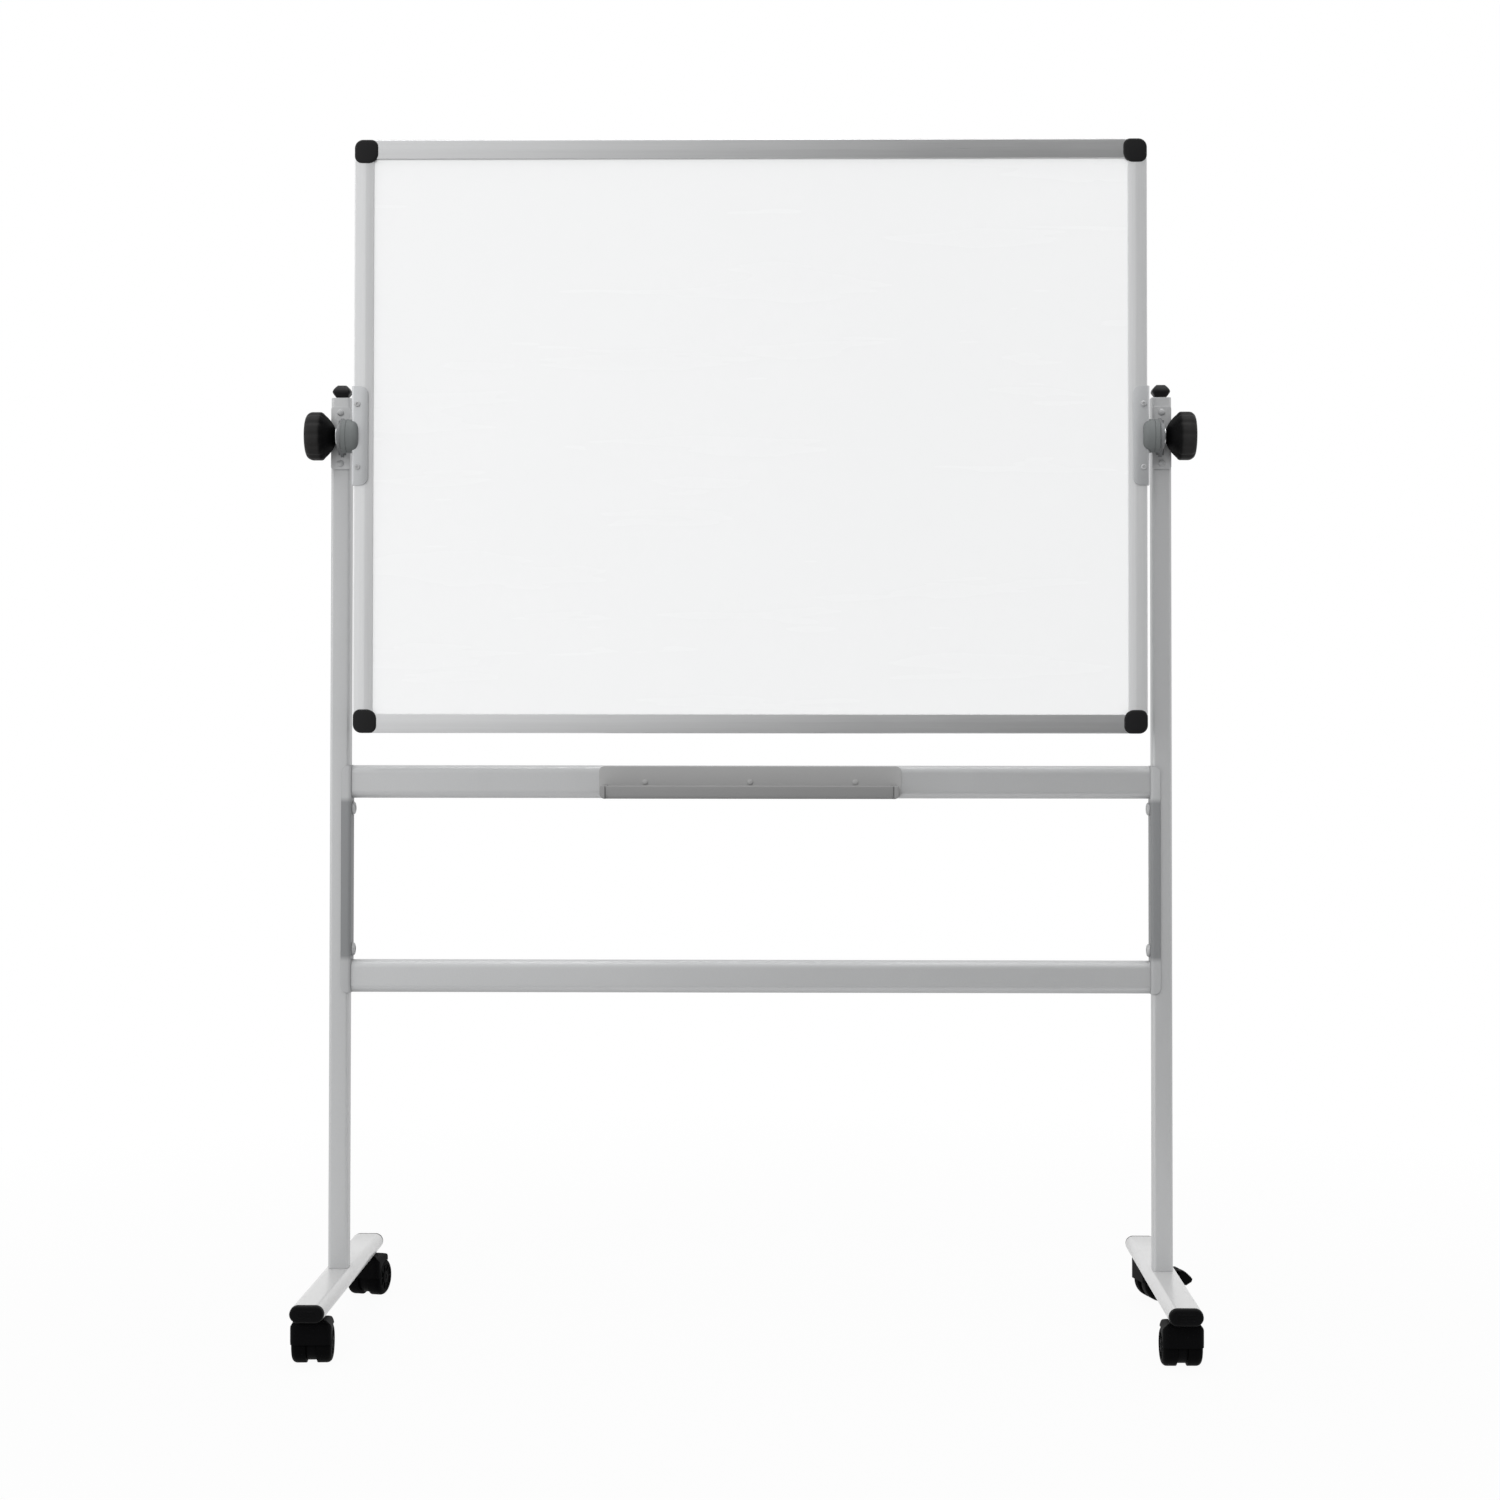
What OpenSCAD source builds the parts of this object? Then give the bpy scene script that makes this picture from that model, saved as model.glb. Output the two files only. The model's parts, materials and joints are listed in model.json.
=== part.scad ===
// Rolling whiteboard: a double-sided board that flips between two uprights on a wheeled stand.
// Millimetres. +X is to the right, the front faces -Y and +Z is up.
// The origin is on the floor, midway between the uprights.

/* [Board] */
// Overall width of the board over its frame
board_w = 1200; // [900:10:1800]
// Overall height of the board over its frame
board_h = 900; // [600:10:1200]
// Height of the board's bottom edge above the floor
board_lift = 908; // [780:1:1000]
// Face width of the frame extrusion
frame_face = 29; // [27:0.5:36]
// Depth of the frame extrusion, front to back
frame_depth = 20; // [18:0.5:24]
// Width of the flat outer band of the frame
frame_flat = 17; // [14:0.5:20]
// How far the sloped inner band falls towards the sheet
frame_slope = 1.5; // [0.5:0.1:2]
// Wall of the frame extrusion
frame_wall = 2; // [1.5:0.1:2.4]
// Rounding of the frame's outer edges
frame_edge_r = 2; // [1:0.1:3]
// Thickness of the core panel
core_t = 10; // [8:0.5:11]
// Thickness of each writing sheet
sheet_t = 0.5; // [0.4:0.1:0.8]
// How far the panel reaches into the frame's groove
panel_bite = 16; // [12:0.5:17]
// Side of the corner caps
corner_size = 36; // [32:1:44]
// How far the corner caps stand proud of the frame
corner_proud = 2; // [1:0.5:3]
// Outer corner radius of the corner caps
corner_r = 12; // [6:0.5:16]
// Length of the corner caps' tongues in the frame
tongue_len = 28; // [16:1:40]

/* [Pivot] */
// Distance from the front of the uprights to the pivot axis
pivot_reach = 30; // [29:0.5:45]
// Height of the pivot brackets
bracket_h = 150; // [120:5:220]
// Width of the pivot bracket's flanges
bracket_flange = 25; // [18:1:28]
// Sheet thickness of the pivot brackets
bracket_t = 3; // [2:0.5:4]
// Distance of the bracket screws from the pivot axis
bracket_screw_z = 48; // [38:1:54]
// Diameter of the pivot hubs
hub_d = 51; // [42:1:52]
// Length of the pivot hubs outside the bracket
hub_out = 16; // [12:0.5:18]
// Length of the pivot hubs over the bracket
hub_lap = 14; // [8:0.5:18]
// Diameter of the threaded pivot studs
stud_d = 10; // [8:1:12]
// Thickness of the friction washers
friction_t = 1.5; // [1:0.1:2]
// Thickness of the pivot ears
ear_t = 5; // [4:0.5:6]
// Radius of the pivot ears round the stud
ear_r = 20; // [15:0.5:24]
// Thickness of the ears' base plates
ear_base_t = 3; // [2:0.5:3.5]
// Height of the ears' base plates
ear_base_h = 96; // [90:1:120]
// Thickness of the clamp washers
clamp_washer_t = 2; // [1:0.1:3]
// Diameter of the clamp knobs
knob_d = 74; // [60:1:90]
// Length of the knobs' fluted rims
knob_rim = 27; // [18:1:34]
// Diameter of the knobs' necks
knob_neck_d = 21; // [19:0.5:26]
// Distance from the outside of the upright to the knob's rim
knob_clear = 5; // [4:0.5:14]
// Number of flutes round the knobs' rims
knob_flutes = 12; // [8:1:18]

/* [Stand] */
// Side of the square uprights
upright_w = 30; // [28:1:40]
// Wall of the uprights
upright_wall = 1.5; // [1.2:0.1:2.5]
// Corner radius of the uprights
upright_r = 3; // [2.6:0.1:5]
// Length of the uprights above the pivot ears
upright_spare = 14; // [6:0.5:60]
// Height of the domed caps of the uprights
cap_h = 20; // [14:1:30]
// Gap between the board's side and the upright
board_gap = 11; // [6:0.5:12]
// Height of the flat-oval crossbars
bar_h = 50; // [42:1:60]
// Depth of the flat-oval crossbars
bar_d = 25; // [20:1:28]
// Wall of the crossbars
bar_wall = 1.5; // [1.2:0.1:2.5]
// Gap between the board's bottom edge and the upper crossbar
bar_gap = 49.5; // [20:0.5:90]
// Distance between the crossbars' centres
bar_spacing = 296; // [200:0.5:400]
// Sheet thickness of the side channels
channel_t = 3; // [2:0.5:4]
// How far the side channels reach over the uprights
channel_lap = 12; // [8:0.5:15]
// Distance of the channel bolts from the crossbars
bolt_clear = 15.5; // [12:0.5:40]

/* [Feet] */
// Overall length of the feet
foot_len = 580; // [500:10:760]
// Width of the flat-oval feet
foot_w = 50; // [44:1:60]
// Height of the flat-oval feet
foot_h = 25; // [20:1:30]
// Wall of the feet
foot_wall = 1.5; // [1.2:0.1:2.5]
// Length of the foot end caps outside the tube
foot_cap = 10; // [6:0.5:16]
// Distance of the caster stems from the ends of the feet
caster_inset = 46; // [44:1:90]

/* [Casters] */
// Diameter of the wheels
wheel_d = 58; // [44:1:76]
// Height from the top of the wheels to the underside of the feet
caster_room = 11; // [9:0.5:20]
// Width of each wheel
wheel_w = 21.5; // [16:0.5:28]
// Thickness of the hood's centre web
web_t = 14.4; // [13:0.1:18]
// Distance of the axle behind the stem
trail = 22; // [18:0.5:26]
// Diameter of the axles
axle_d = 6; // [5:0.5:8]
// Diameter of the stems
stem_d = 8; // [6:0.5:10]
// Gap between the wheels and the hood
hood_gap = 1; // [0.6:0.1:1.4]
// Radius of the hood's shoulders
hood_shoulder = 13; // [10:0.5:14]
// Resting direction of the front left caster, degrees from +X
front_left_turn = 93; // [-180:1:180]
// Resting direction of the front right caster, degrees from +X
front_right_turn = 91; // [-180:1:180]
// Resting direction of the rear left caster, degrees from +X
rear_left_turn = 76; // [-180:1:180]
// Resting direction of the rear right caster, degrees from +X
rear_right_turn = 15; // [-180:1:180]

/* [Pen tray] */
// Overall length of the tray's back
tray_w = 460; // [300:10:700]
// Depth of the tray in front of the crossbar
tray_d = 57; // [40:1:80]
// Height of the tray's back
tray_back = 48; // [40:1:60]
// Height of the tray's front lip
tray_lip = 20; // [12:1:30]
// Sheet thickness of the tray
tray_t = 1.5; // [1:0.1:2]
// Radius of the tray's front bend
tray_bend = 6; // [4:0.5:10]
// Thickness of the tray's end caps
tray_cap = 3; // [2:0.5:5]

/* [Hidden] */
$fn = 48;
// Radial clearance of pins, studs and plugs
fit = 0.05;
// Spare length that makes a cutter pass right through
over = 1;

// Board
half_w = board_w / 2;
half_h = board_h / 2;
panel_room = 1;
groove_s = frame_face - panel_bite - panel_room;
sheet_press = 0.1;
sheet_low_t = sheet_t - sheet_press;
groove_t = core_t + 2 * sheet_low_t + 2 * fit;
chamber_w = groove_s - 2 * frame_wall;
chamber_t = frame_depth - 2 * frame_wall;
panel_w = board_w - 2 * (groove_s + panel_room);
panel_h = board_h - 2 * (groove_s + panel_room);
sheet_room = 0.5;
face_w = board_w - 2 * (frame_face + sheet_room);
face_h = board_h - 2 * (frame_face + sheet_room);
face_notch = max(corner_size - frame_face, 0);
corner_inner_r = 9;
corner_lap = max(min(6, corner_size - frame_face), 0);
bar_end_s = corner_size - corner_lap;

// Pivot, with the distances along X counted outwards from the middle of the board
pivot_y = -(upright_w / 2 + pivot_reach);
pivot_z = board_lift + half_h;
web_x = half_w + bracket_t;
hub_x = web_x + hub_out;
ear_in_x = hub_x + friction_t;
ear_x = ear_in_x + ear_t;
clamp_x = ear_x + clamp_washer_t;
upright_x = half_w + board_gap + upright_w / 2;
rim_x = upright_x + upright_w / 2 + knob_clear;
bracket_end_r = 12;
screw_d = 4;
screw_head_d = 9;
screw_head_t = 2.5;
screw_s = frame_wall + chamber_w / 2;
hub_edge = 1.5;
hub_nose = min(8, hub_lap - 1);
stud_head_d = chamber_t - 1;
stud_head_t = 3;
stud_in_knob = 27;
friction_d = 40;
clamp_washer_d = 26;
insert_d = stud_d + 5;
insert_l = 30;
insert_room = 3;
neck_l = 3;
rim_edge = 4;
knob_crown = 10;
rim_dish = 2;
rim_band = 12;
flute_r = 6;
flute_depth = 1.6;
ear_root = 60;
ear_base_w = upright_w - 1;
ear_base_r = 4;
ear_bolt_d = 6;
ear_bolt_head_d = 10.5;
ear_bolt_head_t = 3.3;
ear_bolt_z = ear_base_h / 2 - 9;

// Stand
caster_h = wheel_d + caster_room;
foot_top = caster_h + foot_h;
upright_top = pivot_z + ear_base_h / 2 + upright_spare;
cap_plug = upright_spare;
cap_drop = 6;
cap_crown_r = (upright_w * upright_w / 4 + cap_drop * cap_drop) / (2 * cap_drop);
base_insert_h = 30;
foot_bolt_d = 10;
foot_bolt_head_d = 17;
foot_bolt_head_t = 6;
upper_bar_z = board_lift - bar_gap - bar_h / 2;
lower_bar_z = upper_bar_z - bar_spacing;
channel_x = upright_x - upright_w / 2 - channel_t;
channel_low = lower_bar_z - bar_h / 2;
channel_high = upper_bar_z + bar_h / 2;
channel_end_r = 10;
channel_bolt_d = 8;
channel_bolt_head_d = 20;
channel_bolt_head_t = 5;
channel_bolt_zs = [lower_bar_z + bar_h / 2 + bolt_clear, upper_bar_z - bar_h / 2 - bolt_clear];
nut_wall = 1.5;
nut_bulge = 1.5;
nut_bulge_t = 3;
nut_len = 11;

// Feet
foot_tube = foot_len - 2 * foot_cap;
foot_plug = 24;
foot_cap_edge = 4;
caster_y = foot_len / 2 - caster_inset;
socket_d = stem_d + 6;

// Casters, with u along the trail and v along the axle
wheel_r = wheel_d / 2;
wheel_room = 0.3;
wheel_v = web_t / 2 + wheel_room;
wheel_edge = 8;
wheel_bevel = 1;
wheel_hub_r = 9;
wheel_dish_r = wheel_r - wheel_edge - 1;
wheel_dish = 2;
wheel_skin = 3.5;
axle_room = 0.5;
axle_half = wheel_v + wheel_w - wheel_skin - axle_room;
web_low = 4;
collar_d = 20;
collar_t = 3;
stem_reach = 30;
stem_low = caster_h - stem_reach;
stem_column = 8;
hood_in = wheel_r + hood_gap;
hood_top = caster_h - collar_t;
hood_v = wheel_v + wheel_w + 1;
hood_low = 2;
hood_rear_u = 20;
hood_wall = 3;
hood_nose = 8;
hood_corner = 9;
hood_lip = 48;
hood_front = max(stem_column + hood_wall, hood_in + hood_wall - trail);
stem_floor = 6;
stem_top_room = 2;

// Brake pedals, hinged on a tab of the hood behind the wheels
tab_angle = 18;
tab_r = wheel_r + 8;
tab_w = 10;
tab_v = 4;
tab_room = 0.4;
pedal_pin_d = 4;
pedal_v = 20;
pedal_cheek_r = 6;
shoe_gap = 3.2;
pedal_u = trail + tab_r * cos(tab_angle);
pedal_z = wheel_r + tab_r * sin(tab_angle);
pedal_outline = [[4, 5.5], [19, -8], [17, -13], [8, -18], [2, -17], [-4, -12], [-6, -3]];
pedal_slot = 2;
pedal_swing = 4;

// Pen tray
tray_low = upper_bar_z - tray_back / 2;
tray_front = -bar_d / 2 - tray_d;
tray_screw_d = 4;
tray_screw_len = 9;
tray_screw_inset = 70;
tray_screw_xs = [tray_screw_inset - tray_w / 2, 0, tray_w / 2 - tray_screw_inset];
tray_tongue = 10;
tray_tongue_t = 2;
tray_tongue_lift = 6;
tray_corner_r = 8;
tray_step = 5;
tray_end_x = tray_w / 2 - tray_step - tray_cap;
tray_wall_y = -bar_d / 2 - tray_t;

SIDES = ["left", "right"];
// Name, side along X, side along Y, resting direction and whether it has a brake, for each caster
CASTERS = [
    ["front_left", -1, -1, front_left_turn, true],
    ["front_right", 1, -1, front_right_turn, false],
    ["rear_left", -1, 1, rear_left_turn, false],
    ["rear_right", 1, 1, rear_right_turn, true]
];
BRAKED = [for (c = CASTERS) if (c[4]) c];

// Points along an arc from angle a0 to a1
function arc(x, y, r, a0, a1, steps = 6) =
    [for (i = [0:steps]) let (a = a0 + (a1 - a0) * i / steps) [x + r * cos(a), y + r * sin(a)]];

// Rectangle with round corners, centred
module rounded_rect(w, h, r) {
    square([w - 2 * r, h], center = true);
    square([w, h - 2 * r], center = true);
    for (x = [-1, 1], y = [-1, 1])
        translate([x * (w / 2 - r), y * (h / 2 - r)]) circle(r);
}

// Flat oval: a rectangle with half-round ends along X, centred
module flat_oval(w, h) {
    square([w - h, h], center = true);
    for (x = [-1, 1])
        translate([x * (w - h) / 2, 0]) circle(d = h);
}

// Wall of a flat-oval tube
module oval_wall(w, h, wall) {
    difference() {
        flat_oval(w, h);
        flat_oval(w - 2 * wall, h - 2 * wall);
    }
}

// Round washer standing on z = 0
module washer(d, bore, t) {
    difference() {
        cylinder(d = d, h = t);
        translate([0, 0, -over]) cylinder(d = bore, h = t + 2 * over);
    }
}

// Bolt along +Z: the head lies below z = 0 and the shank above it
module bolt(d, len, head_d, head_t) {
    head_r = head_d / 2;
    crown_r = head_r * 0.72;
    cylinder(d = d, h = len);
    difference() {
        rotate_extrude()
            polygon([[0, 0], [head_r, 0], [head_r, -head_t / 2], [crown_r, -head_t], [0, -head_t]]);
        translate([0, 0, -head_t - over]) cylinder(r = head_r * 0.46, h = head_t / 2 + over, $fn = 6);
    }
}

// Rivet nut along +Z: z = 0 is the outside of the wall that it is set in
module rivet_nut(d, wall) {
    difference() {
        union() {
            cylinder(r = d / 2 + nut_wall, h = wall + nut_len);
            translate([0, 0, wall]) cylinder(r = d / 2 + nut_wall + nut_bulge, h = nut_bulge_t);
        }
        translate([0, 0, -over]) cylinder(r = d / 2 + fit, h = wall + nut_len + 2 * over);
    }
}

// Shapes drawn for the right-hand side, or mirrored to the left
module on_side(side) {
    if (side == "right")
        children();
    else
        mirror([1, 0, 0]) children();
}

module both_sides() {
    for (side = SIDES)
        on_side(side) children();
}

module at_pivot() {
    translate([0, pivot_y, pivot_z]) children();
}

// Turns +Z to +X, so that lengths run outwards along the pivot axis
module outwards(x) {
    translate([x, 0, 0]) rotate([0, 90, 0]) children();
}

// Extrudes a (Y, Z) outline along X from x
module extrude_x(x, len) {
    translate([x, 0, 0]) rotate([90, 0, 90]) linear_extrude(len) children();
}

// Extrudes an (X, Z) outline along Y, evenly about y = 0
module extrude_y(len) {
    rotate([90, 0, 0]) linear_extrude(len, center = true) children();
}

// Board

module board_core() {
    color("burlywood")
        at_pivot() cube([panel_w, core_t, panel_h], center = true);
}

// Writing sheet, pressed a little thinner where the frame and the corner caps hold it
module writing_sheet(side_y) {
    color("white")
        at_pivot() {
            translate([0, side_y * (core_t + sheet_low_t) / 2, 0])
                cube([panel_w, sheet_low_t, panel_h], center = true);
            translate([0, side_y * (core_t + sheet_t) / 2, 0]) {
                cube([face_w, sheet_t, face_h - 2 * face_notch], center = true);
                cube([face_w - 2 * face_notch, sheet_t, face_h], center = true);
            }
        }
}

// Section of the frame: x runs inwards from the outer edge, y is the depth
module frame_section() {
    edge_y = frame_depth / 2 - frame_edge_r;
    difference() {
        union() {
            translate([frame_edge_r, -frame_depth / 2]) square([frame_flat - frame_edge_r, frame_depth]);
            translate([0, -edge_y]) square([frame_edge_r + over, 2 * edge_y]);
            for (y = [-1, 1])
                translate([frame_edge_r, y * edge_y]) circle(frame_edge_r);
            polygon([
                [frame_flat, -frame_depth / 2],
                [frame_face, -frame_depth / 2 + frame_slope],
                [frame_face, frame_depth / 2 - frame_slope],
                [frame_flat, frame_depth / 2]
            ]);
        }
        translate([groove_s, -groove_t / 2]) square([frame_face, groove_t]);
        translate([frame_wall, -chamber_t / 2]) square([chamber_w, chamber_t]);
    }
}

module frame_bar(len) {
    color("silver")
        linear_extrude(len, center = true) frame_section();
}

module frame_bottom() {
    at_pivot()
        translate([0, 0, -half_h]) rotate([0, -90, 0]) frame_bar(board_w - 2 * bar_end_s);
}

module frame_top() {
    at_pivot()
        mirror([0, 0, 1])
            translate([0, 0, -half_h]) rotate([0, -90, 0]) frame_bar(board_w - 2 * bar_end_s);
}

module frame_side(side) {
    difference() {
        on_side(side)
            at_pivot()
                mirror([1, 0, 0]) translate([-half_w, 0, 0]) frame_bar(board_h - 2 * bar_end_s);
        on_side(side)
            at_pivot()
                outwards(half_w - frame_wall - over)
                    cylinder(d = stud_head_d + 1, h = frame_wall + 2 * over);
        bracket_screw_places()
            cylinder(d = screw_d + 2 * fit, h = bracket_t + frame_wall + over);
    }
}

// Front view of a corner cap, its outer corner at the origin
module corner_outline() {
    far = corner_size - corner_inner_r;
    translate([corner_r, corner_r]) circle(corner_r);
    for (p = [[far, far], [far, corner_inner_r], [corner_inner_r, far]])
        translate(p) circle(corner_inner_r);
    translate([corner_r, 0]) square([far - corner_r, corner_size]);
    translate([0, corner_r]) square([corner_size, far - corner_r]);
    translate([corner_r, corner_inner_r]) square([corner_size - corner_r, far - corner_inner_r]);
    translate([corner_inner_r, corner_r]) square([far - corner_inner_r, corner_size - corner_r]);
}

// Corner cap with its outer corner at the origin, x and z running inwards
module corner_cap() {
    half_t = frame_depth / 2 + corner_proud;
    pocket_t = frame_depth + 2 * fit;
    pocket_s = frame_face + fit + over;
    tongue_w = chamber_w - 2 * fit;
    tongue_t = chamber_t - 2 * fit;
    difference() {
        extrude_y(2 * half_t) corner_outline();
        translate([bar_end_s, -pocket_t / 2, -over]) cube([corner_lap + over, pocket_t, pocket_s]);
        translate([-over, -pocket_t / 2, bar_end_s]) cube([pocket_s, pocket_t, corner_lap + over]);
        translate([groove_s, -groove_t / 2, groove_s]) cube([corner_size, groove_t, corner_size]);
    }
    translate([bar_end_s - over, -tongue_t / 2, frame_wall + fit])
        cube([tongue_len + over, tongue_t, tongue_w]);
    translate([frame_wall + fit, -tongue_t / 2, bar_end_s - over])
        cube([tongue_w, tongue_t, tongue_len + over]);
}

module corner_caps() {
    color("#1c1c1e")
        at_pivot()
            both_sides()
                for (flip = [0, 1])
                    if (flip == 0)
                        mirror([1, 0, 0]) translate([-half_w, 0, -half_h]) corner_cap();
                    else
                        mirror([1, 0, 0]) mirror([0, 0, 1]) translate([-half_w, 0, -half_h]) corner_cap();
}

// Screw places on both faces of both brackets, +Z running into the frame
module bracket_screw_places() {
    at_pivot()
        both_sides()
            for (y = [-1, 1], z = [-1, 1])
                translate([half_w - screw_s, y * (frame_depth / 2 + bracket_t), z * bracket_screw_z])
                    rotate([y * 90, 0, 0]) children();
}

module pivot_bracket(side) {
    outer_t = frame_depth + 2 * bracket_t;
    color("silver")
        difference() {
            on_side(side)
                at_pivot()
                    difference() {
                        intersection() {
                            translate([web_x - bracket_flange, -outer_t / 2, -bracket_h / 2])
                                cube([bracket_flange, outer_t, bracket_h]);
                            translate([web_x, 0, 0])
                                extrude_y(outer_t + over)
                                    rounded_rect(2 * bracket_flange, bracket_h, bracket_end_r);
                        }
                        translate([half_w - bracket_flange, -frame_depth / 2, -bracket_h])
                            cube([bracket_flange, frame_depth, 2 * bracket_h]);
                        outwards(half_w - over) cylinder(d = stud_d + 2 * fit, h = bracket_t + 2 * over);
                    }
            bracket_screw_places()
                translate([0, 0, -over]) cylinder(d = screw_d + 2 * fit, h = bracket_t + 2 * over);
        }
}

module bracket_screws() {
    color("gainsboro")
        bracket_screw_places()
            bolt(screw_d, bracket_t + frame_wall + 4, screw_head_d, screw_head_t);
}

// Drum beside the upright, slotted to straddle the bracket
module pivot_hubs() {
    hub_r = hub_d / 2;
    hub_len = hub_lap + hub_out;
    slot_t = frame_depth + 2 * bracket_t + 2 * fit;
    color("gray")
        at_pivot()
            both_sides()
                difference() {
                    outwards(web_x - hub_lap)
                        rotate_extrude()
                            polygon(concat(
                                [[0, 0]],
                                arc(hub_r - hub_nose, hub_nose, hub_nose, -90, 0),
                                [[hub_r, hub_len - hub_edge], [hub_r - hub_edge, hub_len], [0, hub_len]]
                            ));
                    translate([web_x - hub_lap - over, -slot_t / 2, -hub_d])
                        cube([hub_lap + over, slot_t, 2 * hub_d]);
                    outwards(web_x - over) cylinder(d = stud_d + 2 * fit, h = hub_out + 2 * over);
                }
}

module friction_washers() {
    color("ivory")
        at_pivot()
            both_sides()
                outwards(hub_x) washer(friction_d, stud_d + 2 * fit, friction_t);
}

// Stud through bracket, hub, ear and knob, its head behind the bracket
module pivot_studs() {
    color("lightgray")
        at_pivot()
            both_sides() {
                outwards(half_w - stud_head_t) cylinder(d = stud_head_d, h = stud_head_t);
                outwards(half_w - over) cylinder(d = stud_d, h = clamp_x + stud_in_knob - half_w + over);
            }
}

// Clamp knobs

module clamp_washer(side) {
    color("lightgray")
        on_side(side)
            at_pivot() outwards(ear_x) washer(clamp_washer_d, stud_d + 2 * fit, clamp_washer_t);
}

module knob(side) {
    rim_r = knob_d / 2;
    rim_in = rim_x - clamp_x;
    rim_out = rim_in + knob_rim;
    dish_r = rim_r - rim_band;
    dish_x = rim_out - rim_dish;
    color("#1b1b1d")
        on_side(side)
            at_pivot()
                outwards(clamp_x)
                    difference() {
                        rotate_extrude()
                            polygon(concat(
                                [[0, 0], [knob_neck_d / 2, 0], [knob_neck_d / 2, neck_l]],
                                arc(rim_r - rim_edge, rim_in + rim_edge, rim_edge, -90, 0),
                                arc(rim_r - knob_crown, rim_out - knob_crown, knob_crown, 0, 90),
                                [[dish_r, rim_out], [dish_r - rim_dish, dish_x], [0, dish_x]]
                            ));
                        translate([0, 0, -over])
                            cylinder(r = insert_d / 2 + fit, h = insert_l + insert_room + over);
                        for (i = [0:knob_flutes - 1])
                            rotate(i * 360 / knob_flutes)
                                translate([rim_r + flute_r - flute_depth, 0, rim_in - over])
                                    cylinder(r = flute_r, h = knob_rim + 2 * over);
                    }
}

module knob_insert(side) {
    color("goldenrod")
        on_side(side)
            at_pivot() outwards(clamp_x) washer(insert_d, stud_d + 2 * fit, insert_l);
}

// Stand

// Bolt places in the inner faces of the uprights, +Z running into the tube
module channel_bolt_places() {
    both_sides()
        for (z = channel_bolt_zs)
            translate([upright_x - upright_w / 2, 0, z]) rotate([0, 90, 0]) children();
}

// Bolt places in the front faces of the uprights, +Z running into the tube
module ear_bolt_places() {
    both_sides()
        for (z = [-1, 1])
            translate([upright_x, -upright_w / 2, pivot_z + z * ear_bolt_z]) rotate([-90, 0, 0]) children();
}

module nut_hole(d) {
    translate([0, 0, -over]) cylinder(r = d / 2 + nut_wall + fit, h = upright_wall + 2 * over);
}

module upright(side) {
    inner_w = upright_w - 2 * upright_wall;
    color("silver")
        difference() {
            on_side(side)
                translate([upright_x, 0, foot_top])
                    linear_extrude(upright_top - foot_top)
                        difference() {
                            rounded_rect(upright_w, upright_w, upright_r);
                            rounded_rect(inner_w, inner_w, upright_r - upright_wall);
                        }
            channel_bolt_places() nut_hole(channel_bolt_d);
            ear_bolt_places() nut_hole(ear_bolt_d);
        }
}

// Solid that plugs the bore of an upright
module upright_plug(h) {
    plug_w = upright_w - 2 * upright_wall - 2 * fit;
    linear_extrude(h) rounded_rect(plug_w, plug_w, upright_r - upright_wall);
}

module upright_caps() {
    color("#1c1c1e")
        both_sides()
            translate([upright_x, 0, upright_top]) {
                intersection() {
                    linear_extrude(cap_h) rounded_rect(upright_w, upright_w, upright_r);
                    translate([0, 0, cap_h - cap_crown_r]) sphere(cap_crown_r);
                }
                translate([0, 0, -cap_plug]) upright_plug(cap_plug + over);
            }
}

module base_inserts() {
    color("dimgray")
        both_sides()
            translate([upright_x, 0, foot_top])
                difference() {
                    upright_plug(base_insert_h);
                    translate([0, 0, -over])
                        cylinder(d = foot_bolt_d + 2 * fit, h = base_insert_h + 2 * over);
                }
}

module foot_bolts() {
    color("dimgray")
        both_sides()
            translate([upright_x, 0, caster_h])
                bolt(foot_bolt_d, foot_h + base_insert_h - over, foot_bolt_head_d, foot_bolt_head_t);
}

module foot(side) {
    color("gainsboro")
        on_side(side)
            translate([upright_x, 0, caster_h])
                difference() {
                    translate([0, 0, foot_h / 2]) extrude_y(foot_tube) oval_wall(foot_w, foot_h, foot_wall);
                    translate([0, 0, -over]) cylinder(d = foot_bolt_d + 2 * fit, h = foot_h + 2 * over);
                    for (y = [-caster_y, caster_y])
                        translate([0, y, -over]) cylinder(d = stem_d + 2 * fit, h = foot_wall + 2 * over);
                }
}

// Foot end cap with its face towards +Y, the tube's end at y = 0
module foot_end_cap() {
    r = foot_h / 2;
    face = concat(
        [[0, 0], [r, 0]],
        arc(r - foot_cap_edge, foot_cap - foot_cap_edge, foot_cap_edge, 0, 90),
        [[0, foot_cap]]
    );
    rotate([-90, 0, 0]) {
        for (x = [-1, 1])
            translate([x * (foot_w - foot_h) / 2, 0, 0]) rotate_extrude() polygon(face);
        for (flip = [0, 180])
            rotate(flip)
                translate([-(foot_w - foot_h) / 2, 0, 0])
                    rotate([90, 0, 90]) linear_extrude(foot_w - foot_h) polygon(face);
    }
    translate([0, (over - foot_plug) / 2, 0])
        extrude_y(foot_plug + over)
            flat_oval(foot_w - 2 * foot_wall - 2 * fit, foot_h - 2 * foot_wall - 2 * fit);
}

module foot_end_caps() {
    color("#1c1c1e")
        both_sides()
            for (turn = [0, 180])
                translate([upright_x, 0, caster_h + foot_h / 2])
                    rotate(turn) translate([0, foot_tube / 2, 0]) foot_end_cap();
}

module crossbar(z) {
    color("silver")
        translate([0, 0, z])
            extrude_x(-channel_x, 2 * channel_x) rotate(90) oval_wall(bar_h, bar_d, bar_wall);
}

module upper_crossbar() {
    difference() {
        crossbar(upper_bar_z);
        tray_screw_places()
            translate([0, 0, -over]) cylinder(d = tray_screw_d + 2 * fit, h = bar_wall + 2 * over);
    }
}

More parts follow.
